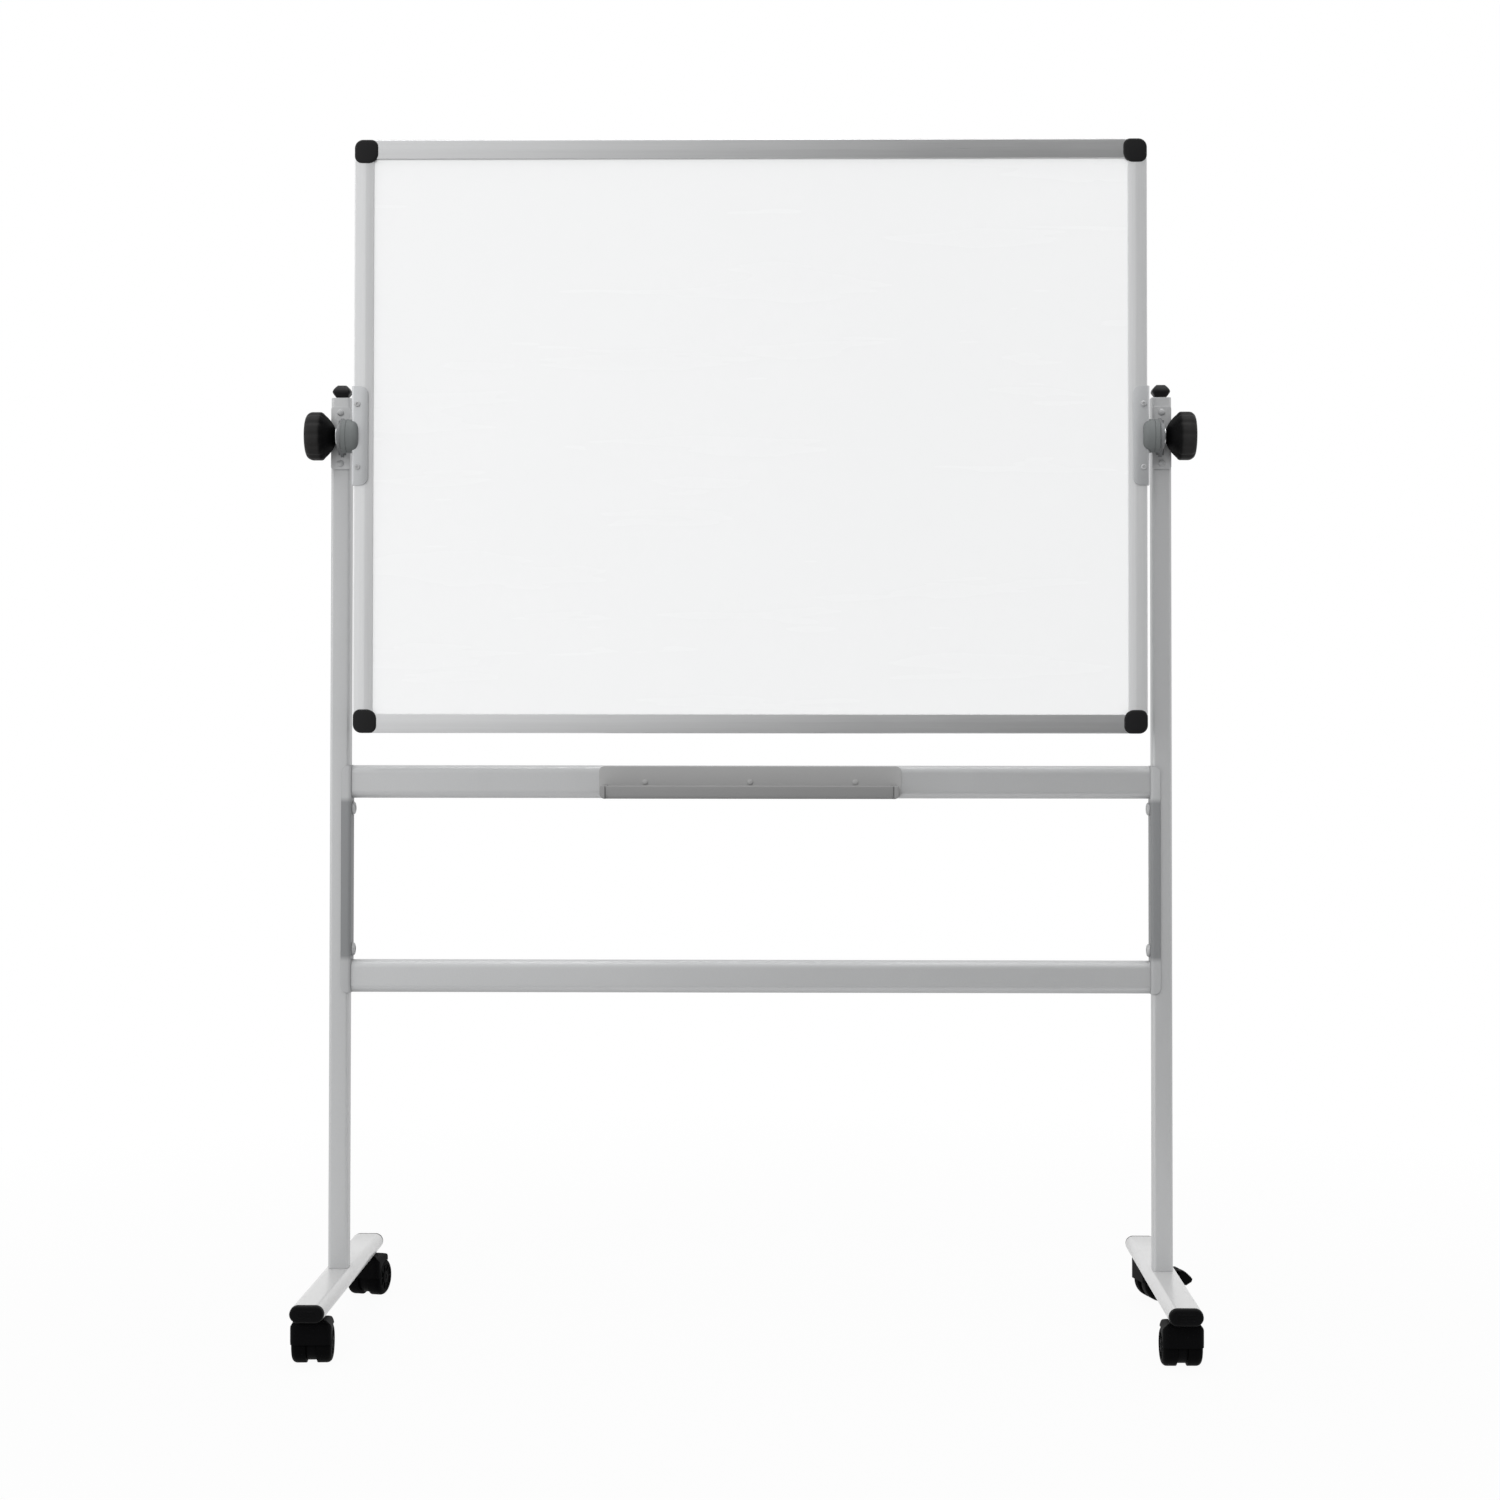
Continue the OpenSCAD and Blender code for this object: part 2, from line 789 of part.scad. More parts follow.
module lower_crossbar() {
    crossbar(lower_bar_z);
}

// Channel over the inner face of an upright, joining it to both crossbars
module side_channel(side) {
    reach = channel_t + channel_lap;
    outer_t = upright_w + 2 * channel_t;
    color("darkgray")
        difference() {
            on_side(side)
                difference() {
                    intersection() {
                        translate([channel_x, -outer_t / 2, channel_low])
                            cube([reach, outer_t, channel_high - channel_low]);
                        translate([channel_x, 0, (channel_low + channel_high) / 2])
                            extrude_y(outer_t + over)
                                rounded_rect(2 * reach, channel_high - channel_low, channel_end_r);
                    }
                    translate([channel_x + channel_t, -upright_w / 2, channel_low - over])
                        cube([reach, upright_w, channel_high - channel_low + 2 * over]);
                }
            channel_bolt_places()
                translate([0, 0, -channel_t - over])
                    cylinder(d = channel_bolt_d + 2 * fit, h = channel_t + 2 * over);
        }
}

module channel_bolts() {
    color("dimgray")
        channel_bolt_places()
            translate([0, 0, -channel_t])
                bolt(
                    channel_bolt_d, channel_t + upright_wall + nut_len,
                    channel_bolt_head_d, channel_bolt_head_t
                );
}

module rivet_nuts() {
    color("goldenrod") {
        channel_bolt_places() rivet_nut(channel_bolt_d, upright_wall);
        ear_bolt_places() rivet_nut(ear_bolt_d, upright_wall);
    }
}

// Ear that carries the pivot stud in front of the upright
module pivot_ear(side) {
    root_y = pivot_reach - ear_base_t;
    color("gray")
        difference() {
            on_side(side)
                at_pivot() {
                    difference() {
                        extrude_x(ear_in_x, ear_t) {
                            circle(ear_r);
                            polygon([
                                [0, ear_r],
                                [root_y, ear_root / 2],
                                [root_y, -ear_root / 2],
                                [0, -ear_r]
                            ]);
                        }
                        outwards(ear_in_x - over) cylinder(r = stud_d / 2 + fit, h = ear_t + 2 * over);
                    }
                    translate([upright_x, root_y, 0])
                        rotate([-90, 0, 0])
                            linear_extrude(ear_base_t) rounded_rect(ear_base_w, ear_base_h, ear_base_r);
                }
            ear_bolt_places()
                translate([0, 0, -ear_base_t - over])
                    cylinder(d = ear_bolt_d + 2 * fit, h = ear_base_t + 2 * over);
        }
}

module ear_bolts() {
    color("dimgray")
        ear_bolt_places()
            translate([0, 0, -ear_base_t])
                bolt(ear_bolt_d, ear_base_t + upright_wall + nut_len, ear_bolt_head_d, ear_bolt_head_t);
}

// Pen tray

// Screw places on the inside of the tray's back, +Z running into the crossbar
module tray_screw_places() {
    for (x = tray_screw_xs)
        translate([x, -bar_d / 2, upper_bar_z]) rotate([-90, 0, 0]) children();
}

// Outline of the tray in (Y, Z), drawn in from its outside by inset
module tray_outline(inset) {
    r = tray_bend - inset;
    y = tray_front + inset;
    z = tray_low + inset;
    translate([y + r, z + r]) circle(r);
    translate([y + r, z]) square([tray_d - 2 * inset - r, tray_back]);
    translate([y, z + r]) square([tray_d - 2 * inset, tray_back - r]);
}

// Folded sheet: a back plate and, a little shorter, the trough in front of it
module pen_tray() {
    color("darkgray")
        difference() {
            union() {
                translate([0, tray_wall_y + tray_t / 2, tray_low + tray_back / 2])
                    extrude_y(tray_t) rounded_rect(tray_w, tray_back, tray_corner_r);
                extrude_x(-tray_end_x, 2 * tray_end_x)
                    difference() {
                        tray_outline(0);
                        tray_outline(tray_t);
                        translate([tray_front - over, tray_low + tray_lip])
                            square([tray_d + 2 * over, tray_back]);
                        translate([tray_wall_y + tray_t / 2, tray_low - over])
                            square([tray_t, tray_back]);
                    }
            }
            tray_screw_places()
                translate([0, 0, -tray_t - over])
                    cylinder(d = tray_screw_d + 2 * fit, h = tray_t + 2 * over);
        }
}

// Ends of the trough, each with a tongue that lies against the back plate
module tray_end_caps() {
    tongue_low = tray_t + tray_tongue_lift;
    color("gray")
        both_sides() {
            extrude_x(tray_end_x, tray_cap)
                intersection() {
                    tray_outline(0);
                    translate([tray_front, tray_low]) square([tray_d - tray_t, tray_lip]);
                }
            translate([tray_end_x - tray_tongue, tray_wall_y - tray_tongue_t, tray_low + tongue_low])
                cube([tray_tongue + over, tray_tongue_t, tray_lip - tongue_low]);
        }
}

module tray_screws() {
    color("gainsboro")
        tray_screw_places()
            translate([0, 0, -tray_t])
                bolt(tray_screw_d, tray_t + tray_screw_len, screw_head_d, screw_head_t);
}

// Casters

module at_caster(c) {
    translate([c[1] * upright_x, c[2] * caster_y, 0]) rotate(c[3]) children();
}

// Stem with the collar that the hood turns against
module caster_stems() {
    color("lightgray")
        for (c = CASTERS)
            at_caster(c) {
                translate([0, 0, stem_low])
                    cylinder(d = stem_d, h = foot_top - foot_wall - stem_top_room - stem_low);
                translate([0, 0, caster_h - collar_t]) cylinder(d = collar_d, h = collar_t);
            }
}

module stem_sockets() {
    color("dimgray")
        for (c = CASTERS)
            at_caster(c)
                translate([0, 0, caster_h + foot_wall])
                    washer(socket_d, stem_d + 2 * fit, foot_h - 2 * foot_wall);
}

// Side view of the hood's centre web in (u, z)
module web_outline() {
    translate([trail, wheel_r]) circle(wheel_r - web_low);
    translate([-stem_column, stem_low - stem_floor])
        square([2 * stem_column, stem_reach + stem_floor - collar_t]);
}

// Side view of the tab that carries a brake pedal
module tab_outline() {
    difference() {
        translate([trail, wheel_r])
            rotate(tab_angle) {
                translate([wheel_r / 2, -tab_w / 2]) square([tab_r - wheel_r / 2, tab_w]);
                translate([tab_r, 0]) circle(d = tab_w);
            }
        translate([pedal_u, pedal_z]) circle(r = pedal_pin_d / 2 + fit);
    }
}

// Side view of the hood: a block round the stem that runs into an arc about the axle
module hood_outline() {
    intersection() {
        union() {
            translate([trail, wheel_r]) circle(hood_top - wheel_r);
            translate([(trail + hood_nose - hood_front) / 2, hood_top - 2 * wheel_r])
                rounded_rect(trail + hood_nose + hood_front, 4 * wheel_r, hood_nose);
        }
        translate([-hood_front, wheel_r + hood_low])
            square([hood_front + trail + hood_rear_u, 3 * wheel_r]);
    }
}

// Room for a wheel under the hood, which keeps a lip over the wheel's shoulder
module wheel_space(side_v) {
    edge_r = wheel_r - wheel_edge;
    edge_v = wheel_v + wheel_w - wheel_edge;
    round_r = wheel_edge + hood_gap;
    translate([trail, 0, wheel_r])
        rotate([-90 * side_v, 0, 0])
            rotate_extrude()
                polygon(concat(
                    [[0, web_t / 2], [hood_in, web_t / 2]],
                    arc(edge_r, edge_v, round_r, 0, hood_lip),
                    [[edge_r + round_r * cos(hood_lip), hood_v + over], [0, hood_v + over]]
                ));
}

// Hood over both wheels, rounded in its side view, its front view and its plan
module hood_shell() {
    hood_len = hood_front + trail + hood_rear_u;
    difference() {
        intersection() {
            extrude_y(2 * hood_v) hood_outline();
            extrude_x(-hood_front - over, hood_len + 2 * over)
                translate([0, hood_top - 2 * wheel_r])
                    rounded_rect(2 * hood_v, 4 * wheel_r, hood_shoulder);
            linear_extrude(caster_h)
                translate([hood_len - hood_front, 0])
                    rounded_rect(2 * hood_len, 2 * hood_v, hood_corner);
        }
        for (side_v = [-1, 1])
            wheel_space(side_v);
    }
}

module caster_hood(c) {
    color("#1a1a1c")
        at_caster(c)
            difference() {
                union() {
                    extrude_y(web_t) web_outline();
                    hood_shell();
                    if (c[4])
                        extrude_y(2 * tab_v) tab_outline();
                }
                translate([0, 0, stem_low - over])
                    cylinder(r = stem_d / 2 + fit, h = caster_h - stem_low + over);
                translate([trail, 0, wheel_r])
                    rotate([90, 0, 0])
                        cylinder(d = axle_d + 2 * fit, h = web_t + 2 * over, center = true);
            }
}

module axle(c) {
    color("lightgray")
        at_caster(c)
            translate([trail, 0, wheel_r])
                rotate([90, 0, 0]) cylinder(d = axle_d, h = 2 * axle_half, center = true);
}

// Wheel on the side of the web that side_v gives, with a blind bore for the axle
module wheel(c, side_v) {
    bore_r = axle_d / 2 + fit;
    bore_end = wheel_w - wheel_skin;
    dish_v = wheel_w - wheel_dish;
    hub_v = wheel_w - wheel_bevel;
    color("#151517")
        at_caster(c)
            translate([trail, side_v * wheel_v, wheel_r])
                rotate([-90 * side_v, 0, 0])
                    rotate_extrude()
                        polygon(concat(
                            [[bore_r, 0], [wheel_r - wheel_bevel, 0], [wheel_r, wheel_bevel]],
                            arc(wheel_r - wheel_edge, wheel_w - wheel_edge, wheel_edge, 0, 90),
                            [[wheel_dish_r, wheel_w], [wheel_dish_r - wheel_dish, dish_v]],
                            [[wheel_hub_r, dish_v], [wheel_hub_r - wheel_bevel, hub_v]],
                            [[0, hub_v], [0, bore_end], [bore_r, bore_end]]
                        ));
}

// Brake pedal: toe, cheeks, pin and the shoe that presses on both wheels
module brake_pedal(c) {
    shoe_r = wheel_r + shoe_gap;
    color("#1d1d1f")
        at_caster(c) {
            difference() {
                extrude_y(2 * pedal_v)
                    difference() {
                        union() {
                            translate([pedal_u, pedal_z]) circle(pedal_cheek_r);
                            translate([pedal_u, pedal_z]) polygon(pedal_outline);
                        }
                        translate([trail, wheel_r]) circle(shoe_r);
                    }
                extrude_y(2 * tab_v + 2 * tab_room)
                    translate([pedal_u, pedal_z]) {
                        circle(tab_w / 2 + pedal_slot);
                        rotate(tab_angle)
                            translate([-tab_r, -tab_w / 2 - pedal_swing])
                                square([tab_r, tab_w + pedal_swing + pedal_slot]);
                    }
            }
            translate([pedal_u, 0, pedal_z])
                rotate([90, 0, 0]) cylinder(d = pedal_pin_d, h = 2 * pedal_v - 2, center = true);
        }
}

board_core();
writing_sheet(-1);  // front_sheet
writing_sheet(1);  // rear_sheet
frame_top();
frame_bottom();
for (s = SIDES) frame_side(s);
corner_caps();
for (s = SIDES) pivot_bracket(s);
bracket_screws();
pivot_hubs();
friction_washers();
pivot_studs();
for (s = SIDES) knob(s);
for (s = SIDES) knob_insert(s);
for (s = SIDES) clamp_washer(s);
for (s = SIDES) upright(s);
for (s = SIDES) foot(s);
for (s = SIDES) side_channel(s);
for (s = SIDES) pivot_ear(s);
upright_caps();
base_inserts();
foot_bolts();
foot_end_caps();
upper_crossbar();
lower_crossbar();
channel_bolts();
ear_bolts();
rivet_nuts();
pen_tray();
tray_end_caps();
tray_screws();
caster_stems();
stem_sockets();
for (c = CASTERS) caster_hood(c);
for (c = CASTERS) axle(c);
for (c = CASTERS) wheel(c, 1);
for (c = CASTERS) wheel(c, -1);
for (c = BRAKED) brake_pedal(c);
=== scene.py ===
"""Looks of a rolling whiteboard: a double-sided board that flips between two uprights on a wheeled stand.

Metres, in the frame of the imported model: +X to the right, the front towards -Y, +Z up and the origin
on the floor between the uprights.
"""

from __future__ import annotations

import json
import logging
import math
from dataclasses import dataclass
from enum import Enum
from typing import Any, Iterable, Mapping, Sequence

import bmesh
import bpy
from mathutils import Matrix, Vector

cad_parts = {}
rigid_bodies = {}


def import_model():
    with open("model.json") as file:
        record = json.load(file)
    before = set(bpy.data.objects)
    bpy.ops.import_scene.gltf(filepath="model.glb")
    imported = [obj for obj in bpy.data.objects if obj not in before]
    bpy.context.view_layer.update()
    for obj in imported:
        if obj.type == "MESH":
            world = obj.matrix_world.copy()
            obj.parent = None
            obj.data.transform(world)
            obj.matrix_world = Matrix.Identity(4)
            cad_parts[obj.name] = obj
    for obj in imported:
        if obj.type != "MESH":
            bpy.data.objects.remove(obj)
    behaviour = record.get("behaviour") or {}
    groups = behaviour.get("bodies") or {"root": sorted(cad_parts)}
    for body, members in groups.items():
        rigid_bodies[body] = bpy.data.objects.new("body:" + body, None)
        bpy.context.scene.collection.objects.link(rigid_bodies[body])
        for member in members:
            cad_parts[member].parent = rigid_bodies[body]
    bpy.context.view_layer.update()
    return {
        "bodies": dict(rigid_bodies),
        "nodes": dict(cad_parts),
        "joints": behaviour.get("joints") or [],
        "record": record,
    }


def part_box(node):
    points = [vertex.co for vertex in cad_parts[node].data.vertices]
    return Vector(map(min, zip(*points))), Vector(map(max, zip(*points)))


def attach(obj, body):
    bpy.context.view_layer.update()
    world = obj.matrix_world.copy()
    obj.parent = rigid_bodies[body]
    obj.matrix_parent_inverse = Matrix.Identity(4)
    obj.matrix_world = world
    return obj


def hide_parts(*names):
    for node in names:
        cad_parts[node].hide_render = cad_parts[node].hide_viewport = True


LOG = logging.getLogger("rolling_whiteboard")
TURN = 2 * math.pi
TOUCHING = 1e-6
SHARP_ANGLE = math.radians(38)

Point = tuple[float, float]
Corner = tuple[float, float, float]
Colour = tuple[float, float, float]


class Side(Enum):
    """Sides of the object, by their direction along X."""

    LEFT = -1
    RIGHT = 1

    @property
    def word(self) -> str:
        """The side's word in the names of pieces."""
        return self.name.lower()


class Axis(Enum):
    """Directions that a finish can be brushed along, as the stretch of its pattern."""

    X = (0.006, 1.0, 1.0)
    Z = (1.0, 1.0, 0.006)


# Outlines


def arc(centre: Point, radius: float, start: float, end: float, steps: int = 8) -> list[Point]:
    """Points along an arc.

    Args:
        centre: Middle of the arc.
        radius: Radius of the arc.
        start: First angle, in degrees.
        end: Last angle, in degrees.
        steps: Straight pieces in the arc.

    Returns:
        The points, both ends among them.
    """
    angles = [math.radians(start + (end - start) * k / steps) for k in range(steps + 1)]
    return [(centre[0] + radius * math.cos(a), centre[1] + radius * math.sin(a)) for a in angles]


def without_doubles(points: Iterable[Point], closed: bool = True) -> list[Point]:
    """Outline without points that lie on their neighbours.

    Args:
        points: Points in order.
        closed: Whether the last point joins the first.

    Returns:
        The points that are left.
    """
    kept: list[Point] = []
    for point in points:
        if not kept or math.dist(point, kept[-1]) > TOUCHING:
            kept.append(point)
    if closed and math.dist(kept[0], kept[-1]) <= TOUCHING:
        kept.pop()
    return kept


def rounded(corners: Sequence[Corner], steps: int = 6, closed: bool = True) -> list[Point]:
    """Outline with rounded corners.

    Args:
        corners: X, Y and radius of each corner, in order.
        steps: Straight pieces in each arc.
        closed: Whether the last corner joins the first.

    Returns:
        The outline's points.
    """
    points: list[Point] = []
    for index, (x, y, radius) in enumerate(corners):
        end = not closed and index in (0, len(corners) - 1)
        if radius <= 0 or end:
            points.append((x, y))
            continue
        here = Vector((x, y))
        back = (Vector(corners[index - 1][:2]) - here).normalized()
        ahead = (Vector(corners[(index + 1) % len(corners)][:2]) - here).normalized()
        half = back.angle(ahead) / 2
        reach = radius / math.tan(half)
        centre = here + (back + ahead).normalized() * radius / math.sin(half)
        first = here + back * reach - centre
        last = here + ahead * reach - centre
        start = math.atan2(first.y, first.x)
        sweep = (math.atan2(last.y, last.x) - start + math.pi) % TURN - math.pi
        points += arc(tuple(centre), radius, math.degrees(start), math.degrees(start + sweep), steps)
    return without_doubles(points, closed)


def block(width: float, height: float, radius: float, steps: int = 6) -> list[Point]:
    """Centred rectangle with round corners: a flat oval where the radius is half the height."""
    x, y = width / 2, height / 2
    return rounded([(-x, -y, radius), (x, -y, radius), (x, y, radius), (-x, y, radius)], steps)


def offset(outline: Sequence[Point], distance: float, closed: bool = True) -> list[Point]:
    """Outline moved to the left of its own direction.

    Args:
        outline: Points in order.
        distance: How far to move, inwards on an outline that runs anticlockwise.
        closed: Whether the last point joins the first.

    Returns:
        The moved points.
    """
    moved: list[Point] = []
    last = len(outline) - 1
    for index, point in enumerate(outline):
        here = Vector(point)
        before = here - Vector(outline[index - 1])
        after = Vector(outline[(index + 1) % len(outline)]) - here
        if not closed:
            before = after if index == 0 else before
            after = before if index == last else after
        normals = [Vector((-edge.y, edge.x)).normalized() for edge in (before, after)]
        shift = (normals[0] + normals[1]) * (distance / (1 + normals[0].dot(normals[1])))
        moved.append(tuple(here + shift))
    return moved


def place(origin: Sequence[float], x_axis: Sequence[float], y_axis: Sequence[float]) -> Matrix:
    """Local frame of a shape.

    Args:
        origin: Where the local origin lies.
        x_axis: Direction of the local X.
        y_axis: Direction of the local Y.

    Returns:
        The frame as a matrix, its Z square to both.
    """
    x, y = Vector(x_axis).normalized(), Vector(y_axis).normalized()
    frame = Matrix((x, y, x.cross(y))).transposed().to_4x4()
    frame.translation = Vector(origin)
    return frame


# Meshes


def plain_mesh(obj: bpy.types.Object) -> bpy.types.Mesh:
    """Mesh of an object with its modifiers carried out."""
    bpy.context.view_layer.update()
    graph = bpy.context.evaluated_depsgraph_get()
    return bpy.data.meshes.new_from_object(obj.evaluated_get(graph))


def discard(obj: bpy.types.Object) -> None:
    """Removes a working object with its mesh."""
    mesh = obj.data
    bpy.data.objects.remove(obj)
    bpy.data.meshes.remove(mesh)


class Form:
    """A mesh in the making, closed and facing outwards."""

    def __init__(self) -> None:
        """Starts with no faces."""
        self.bm = bmesh.new()

    def skin(self, rings: Sequence[Sequence[Sequence[float]]], frame: Matrix, capped: bool = True) -> Form:
        """Closed rings of as many points each, joined in order.

        Args:
            rings: Rings of local points.
            frame: Local frame of the points.
            capped: Whether the first and last ring are filled, or joined to each other.

        Returns:
            This form.
        """
        rows = [[self.bm.verts.new(frame @ Vector(p)) for p in ring] for ring in rings]
        pairs = list(zip(rows, rows[1:])) + ([] if capped else [(rows[-1], rows[0])])
        made = []
        for low, high in pairs:
            for i in range(len(low)):
                j = (i + 1) % len(low)
                made.append(self.bm.faces.new((low[i], low[j], high[j], high[i])))
        if capped:
            made.append(self.bm.faces.new(rows[0]))
            made.append(self.bm.faces.new(rows[-1]))
        bmesh.ops.recalc_face_normals(self.bm, faces=made)
        return self

    def prism(self, outline: Sequence[Point], frame: Matrix, length: float, edge: float = 0.0004) -> Form:
        """Outline drawn along the local Z, with its two rims rounded.

        Args:
            outline: Anticlockwise outline in the local X and Y.
            frame: Local frame, its origin at the first rim.
            length: Distance between the rims.
            edge: Radius of the rims.

        Returns:
            This form.
        """
        steps = 4
        turns = [math.pi / 2 * k / steps for k in range(steps + 1)]
        rims = [(edge * (1 - math.sin(turn)), edge * (1 - math.cos(turn))) for turn in turns]
        levels = rims + [(inset, length - height) for inset, height in reversed(rims)]
        return self.skin([[(x, y, z) for x, y in offset(outline, i)] for i, z in levels], frame)

    def lathe(self, profile: Sequence[Point], frame: Matrix, segments: int = 64) -> Form:
        """Profile turned about the local Z.

        Args:
            profile: Radius and height of each point: a loop, or a line whose two ends lie on the axis.
            frame: Local frame.
            segments: Straight pieces round the axis.

        Returns:
            This form.
        """
        rows = []
        for radius, height in profile:
            count = segments if radius > TOUCHING else 1
            angles = [TURN * k / segments for k in range(count)]
            ring = [frame @ Vector((radius * math.cos(a), radius * math.sin(a), height)) for a in angles]
            rows.append([self.bm.verts.new(p) for p in ring])
        solid = len(rows[0]) == 1
        made = []
        for low, high in zip(rows, rows[1:] if solid else rows[1:] + rows[:1]):
            for i in range(segments):
                j = (i + 1) % segments
                corners = [low[i % len(low)], low[j % len(low)], high[j % len(high)], high[i % len(high)]]
                face = list(dict.fromkeys(corners))
                made.append(self.bm.faces.new(face))
        bmesh.ops.recalc_face_normals(self.bm, faces=made)
        return self

    def folded(self, sheet: FoldedSheet, frame: Matrix) -> Form:
        """Folded sheet metal, drawn along the local Z, evenly about its origin.

        Args:
            sheet: Fold line and sizes of the sheet.
            frame: Local frame of the fold line.

        Returns:
            This form.
        """
        line = sheet.line()
        halves = sheet.half_widths(line)
        faces = [offset(line, side * sheet.thickness / 2, closed=False) for side in (1, -1)]
        rings = []
        for left, right, half in zip(*faces, halves):
            rings.append([(*left, -half), (*left, half), (*right, half), (*right, -half)])
        sharp = Form().skin(rings, frame)
        edges = [e for e in sharp.bm.edges if e.calc_face_angle(0) > SHARP_ANGLE]
        bmesh.ops.bevel(sharp.bm, geom=edges, offset=sheet.edge, segments=2, profile=0.5, affect="EDGES")
        return self.join(sharp)

    def join(self, other: Form) -> Form:
        """Takes in the faces of another form, which is used up."""
        mesh = other.mesh("joined")
        self.bm.from_mesh(mesh)
        bpy.data.meshes.remove(mesh)
        return self

    def add(self, mesh: bpy.types.Mesh, frame: Matrix) -> Form:
        """Takes in a plain mesh, moved into a local frame."""
        mesh.transform(frame)
        self.bm.from_mesh(mesh)
        bpy.data.meshes.remove(mesh)
        return self

    def carve(self, cutter: Form) -> Form:
        """Cuts another form, which is used up, out of this one."""
        body = bpy.data.objects.new("carved", self.mesh("carved"))
        tool = bpy.data.objects.new("cutter", cutter.mesh("cutter"))
        for obj in (body, tool):
            bpy.context.scene.collection.objects.link(obj)
        modifier = body.modifiers.new("carve", "BOOLEAN")
        modifier.operation = "DIFFERENCE"
        modifier.solver = "EXACT"
        modifier.object = tool
        result = plain_mesh(body)
        self.bm = bmesh.new()
        self.bm.from_mesh(result)
        bpy.data.meshes.remove(result)
        discard(body)
        discard(tool)
        return self

    def mesh(self, name: str) -> bpy.types.Mesh:
        """Ends the form.

        Args:
            name: Name of the mesh.

        Returns:
            The mesh, smooth apart from its sharp edges.
        """
        mesh = bpy.data.meshes.new(name)
        self.bm.to_mesh(mesh)
        self.bm.free()
        mesh.polygons.foreach_set("use_smooth", [True] * len(mesh.polygons))
        mesh.set_sharp_from_angle(angle=SHARP_ANGLE)
        return mesh


@dataclass(frozen=True)
class FoldedSheet:
    """Sheet metal folded along straight lines.

    Attributes:
        bends: X, Y and bend radius along the middle of the sheet, in order.
        thickness: Thickness of the sheet.
        width: Length of the folds.
        corner: Radius of the sheet's own four corners.
        edge: Radius of its edges.
    """

    bends: tuple[Corner, ...]
    thickness: float
    width: float
    corner: float = 0.0
    edge: float = 0.0004

    def line(self) -> list[Point]:
        """Fold line, with points added where the sheet's own corners are round."""
        points = rounded(self.bends, closed=False)
        if self.corner <= 0:
            return points
        steps = 7
        shares = [1 - math.cos(math.pi / 2 * k / steps) for k in range(1, steps + 1)]
        first, second = Vector(points[0]), Vector(points[1])
        last, before = Vector(points[-1]), Vector(points[-2])
        start = [tuple(first + (second - first).normalized() * self.corner * s) for s in shares]
        end = [tuple(last + (before - last).normalized() * self.corner * s) for s in reversed(shares)]
        return without_doubles([points[0], *start, *points[1:-1], *end, points[-1]], closed=False)

    def half_widths(self, line: Sequence[Point]) -> list[float]:
        """Half the sheet's width at each point of its fold line."""
        halves = []
        for point in line:
            reach = min(math.dist(point, line[0]), math.dist(point, line[-1]), self.corner)
            drop = self.corner - math.sqrt(max(self.corner**2 - (self.corner - reach) ** 2, 0))
            halves.append(self.width / 2 - drop)
        return halves


# Geometry Nodes


class NodeTree:
    """A Geometry Nodes tree with named inputs."""

    KINDS = {
        "geometry": "NodeSocketGeometry",
        "object": "NodeSocketObject",
        "material": "NodeSocketMaterial",
        "float": "NodeSocketFloat",
        "int": "NodeSocketInt",
    }

    def __init__(self, name: str, inputs: Mapping[str, str]) -> None:
        """Makes the tree and its inputs.

        Args:
            name: Name of the tree.
            inputs: Kind of each input by its name.
        """
        self.tree = bpy.data.node_groups.new(name, "GeometryNodeTree")
        self.identifiers: dict[str, str] = {}
        for label, kind in inputs.items():
            socket = self.tree.interface.new_socket(label, in_out="INPUT", socket_type=self.KINDS[kind])
            self.identifiers[label] = socket.identifier
        self.tree.interface.new_socket("Geometry", in_out="OUTPUT", socket_type=self.KINDS["geometry"])
        self.entry = self.tree.nodes.new("NodeGroupInput")
        self.exit = self.tree.nodes.new("NodeGroupOutput")

    def wire(self, label: str) -> bpy.types.NodeSocket:
        """Socket of a named input."""
        return self.entry.outputs[label]

    def node(
        self,
        kind: str,
        settings: Mapping[str, Any] | None = None,
        sockets: Mapping[str | int, Any] | None = None,
        output: str | int = 0,
    ) -> bpy.types.NodeSocket:
        """Adds a node.

        Args:
            kind: Type of the node.
            settings: Its properties, set first.
            sockets: Values or links of its inputs.
            output: Output that is handed on.

        Returns:
            That output's socket.
        """
        node = self.tree.nodes.new(kind)
        for name, value in (settings or {}).items():
            setattr(node, name, value)
        for name, value in (sockets or {}).items():
            if isinstance(value, bpy.types.NodeSocket):
                self.tree.links.new(value, node.inputs[name])
            else:
                node.inputs[name].default_value = value
        return node.outputs[output]

    def maths(self, operation: str, *values: Any) -> bpy.types.NodeSocket:
        """Adds a Math node on values or links."""
        return self.node("ShaderNodeMath", {"operation": operation}, dict(enumerate(values)))

    def close(self, geometry: bpy.types.NodeSocket) -> None:
        """Gives the geometry its material and ends the tree."""
        painted = self.node(
            "GeometryNodeSetMaterial", None, {"Geometry": geometry, "Material": self.wire("Finish")}
        )
        self.tree.links.new(painted, self.exit.inputs[0])

    def run(self, mesh: bpy.types.Mesh, values: Mapping[str, Any]) -> bpy.types.Mesh:
        """Carries the tree out on a mesh.

        Args:
            mesh: Mesh that the tree starts from.
            values: Value of each input by its name.

        Returns:
            The result as a plain mesh.
        """
        carrier = bpy.data.objects.new("carrier", mesh)
        bpy.context.scene.collection.objects.link(carrier)
        modifier = carrier.modifiers.new(self.tree.name, "NODES")
        modifier.node_group = self.tree
        for label, value in values.items():
            modifier[self.identifiers[label]] = value
        result = plain_mesh(carrier)
        carrier.modifiers.clear()
        discard(carrier)
        return result


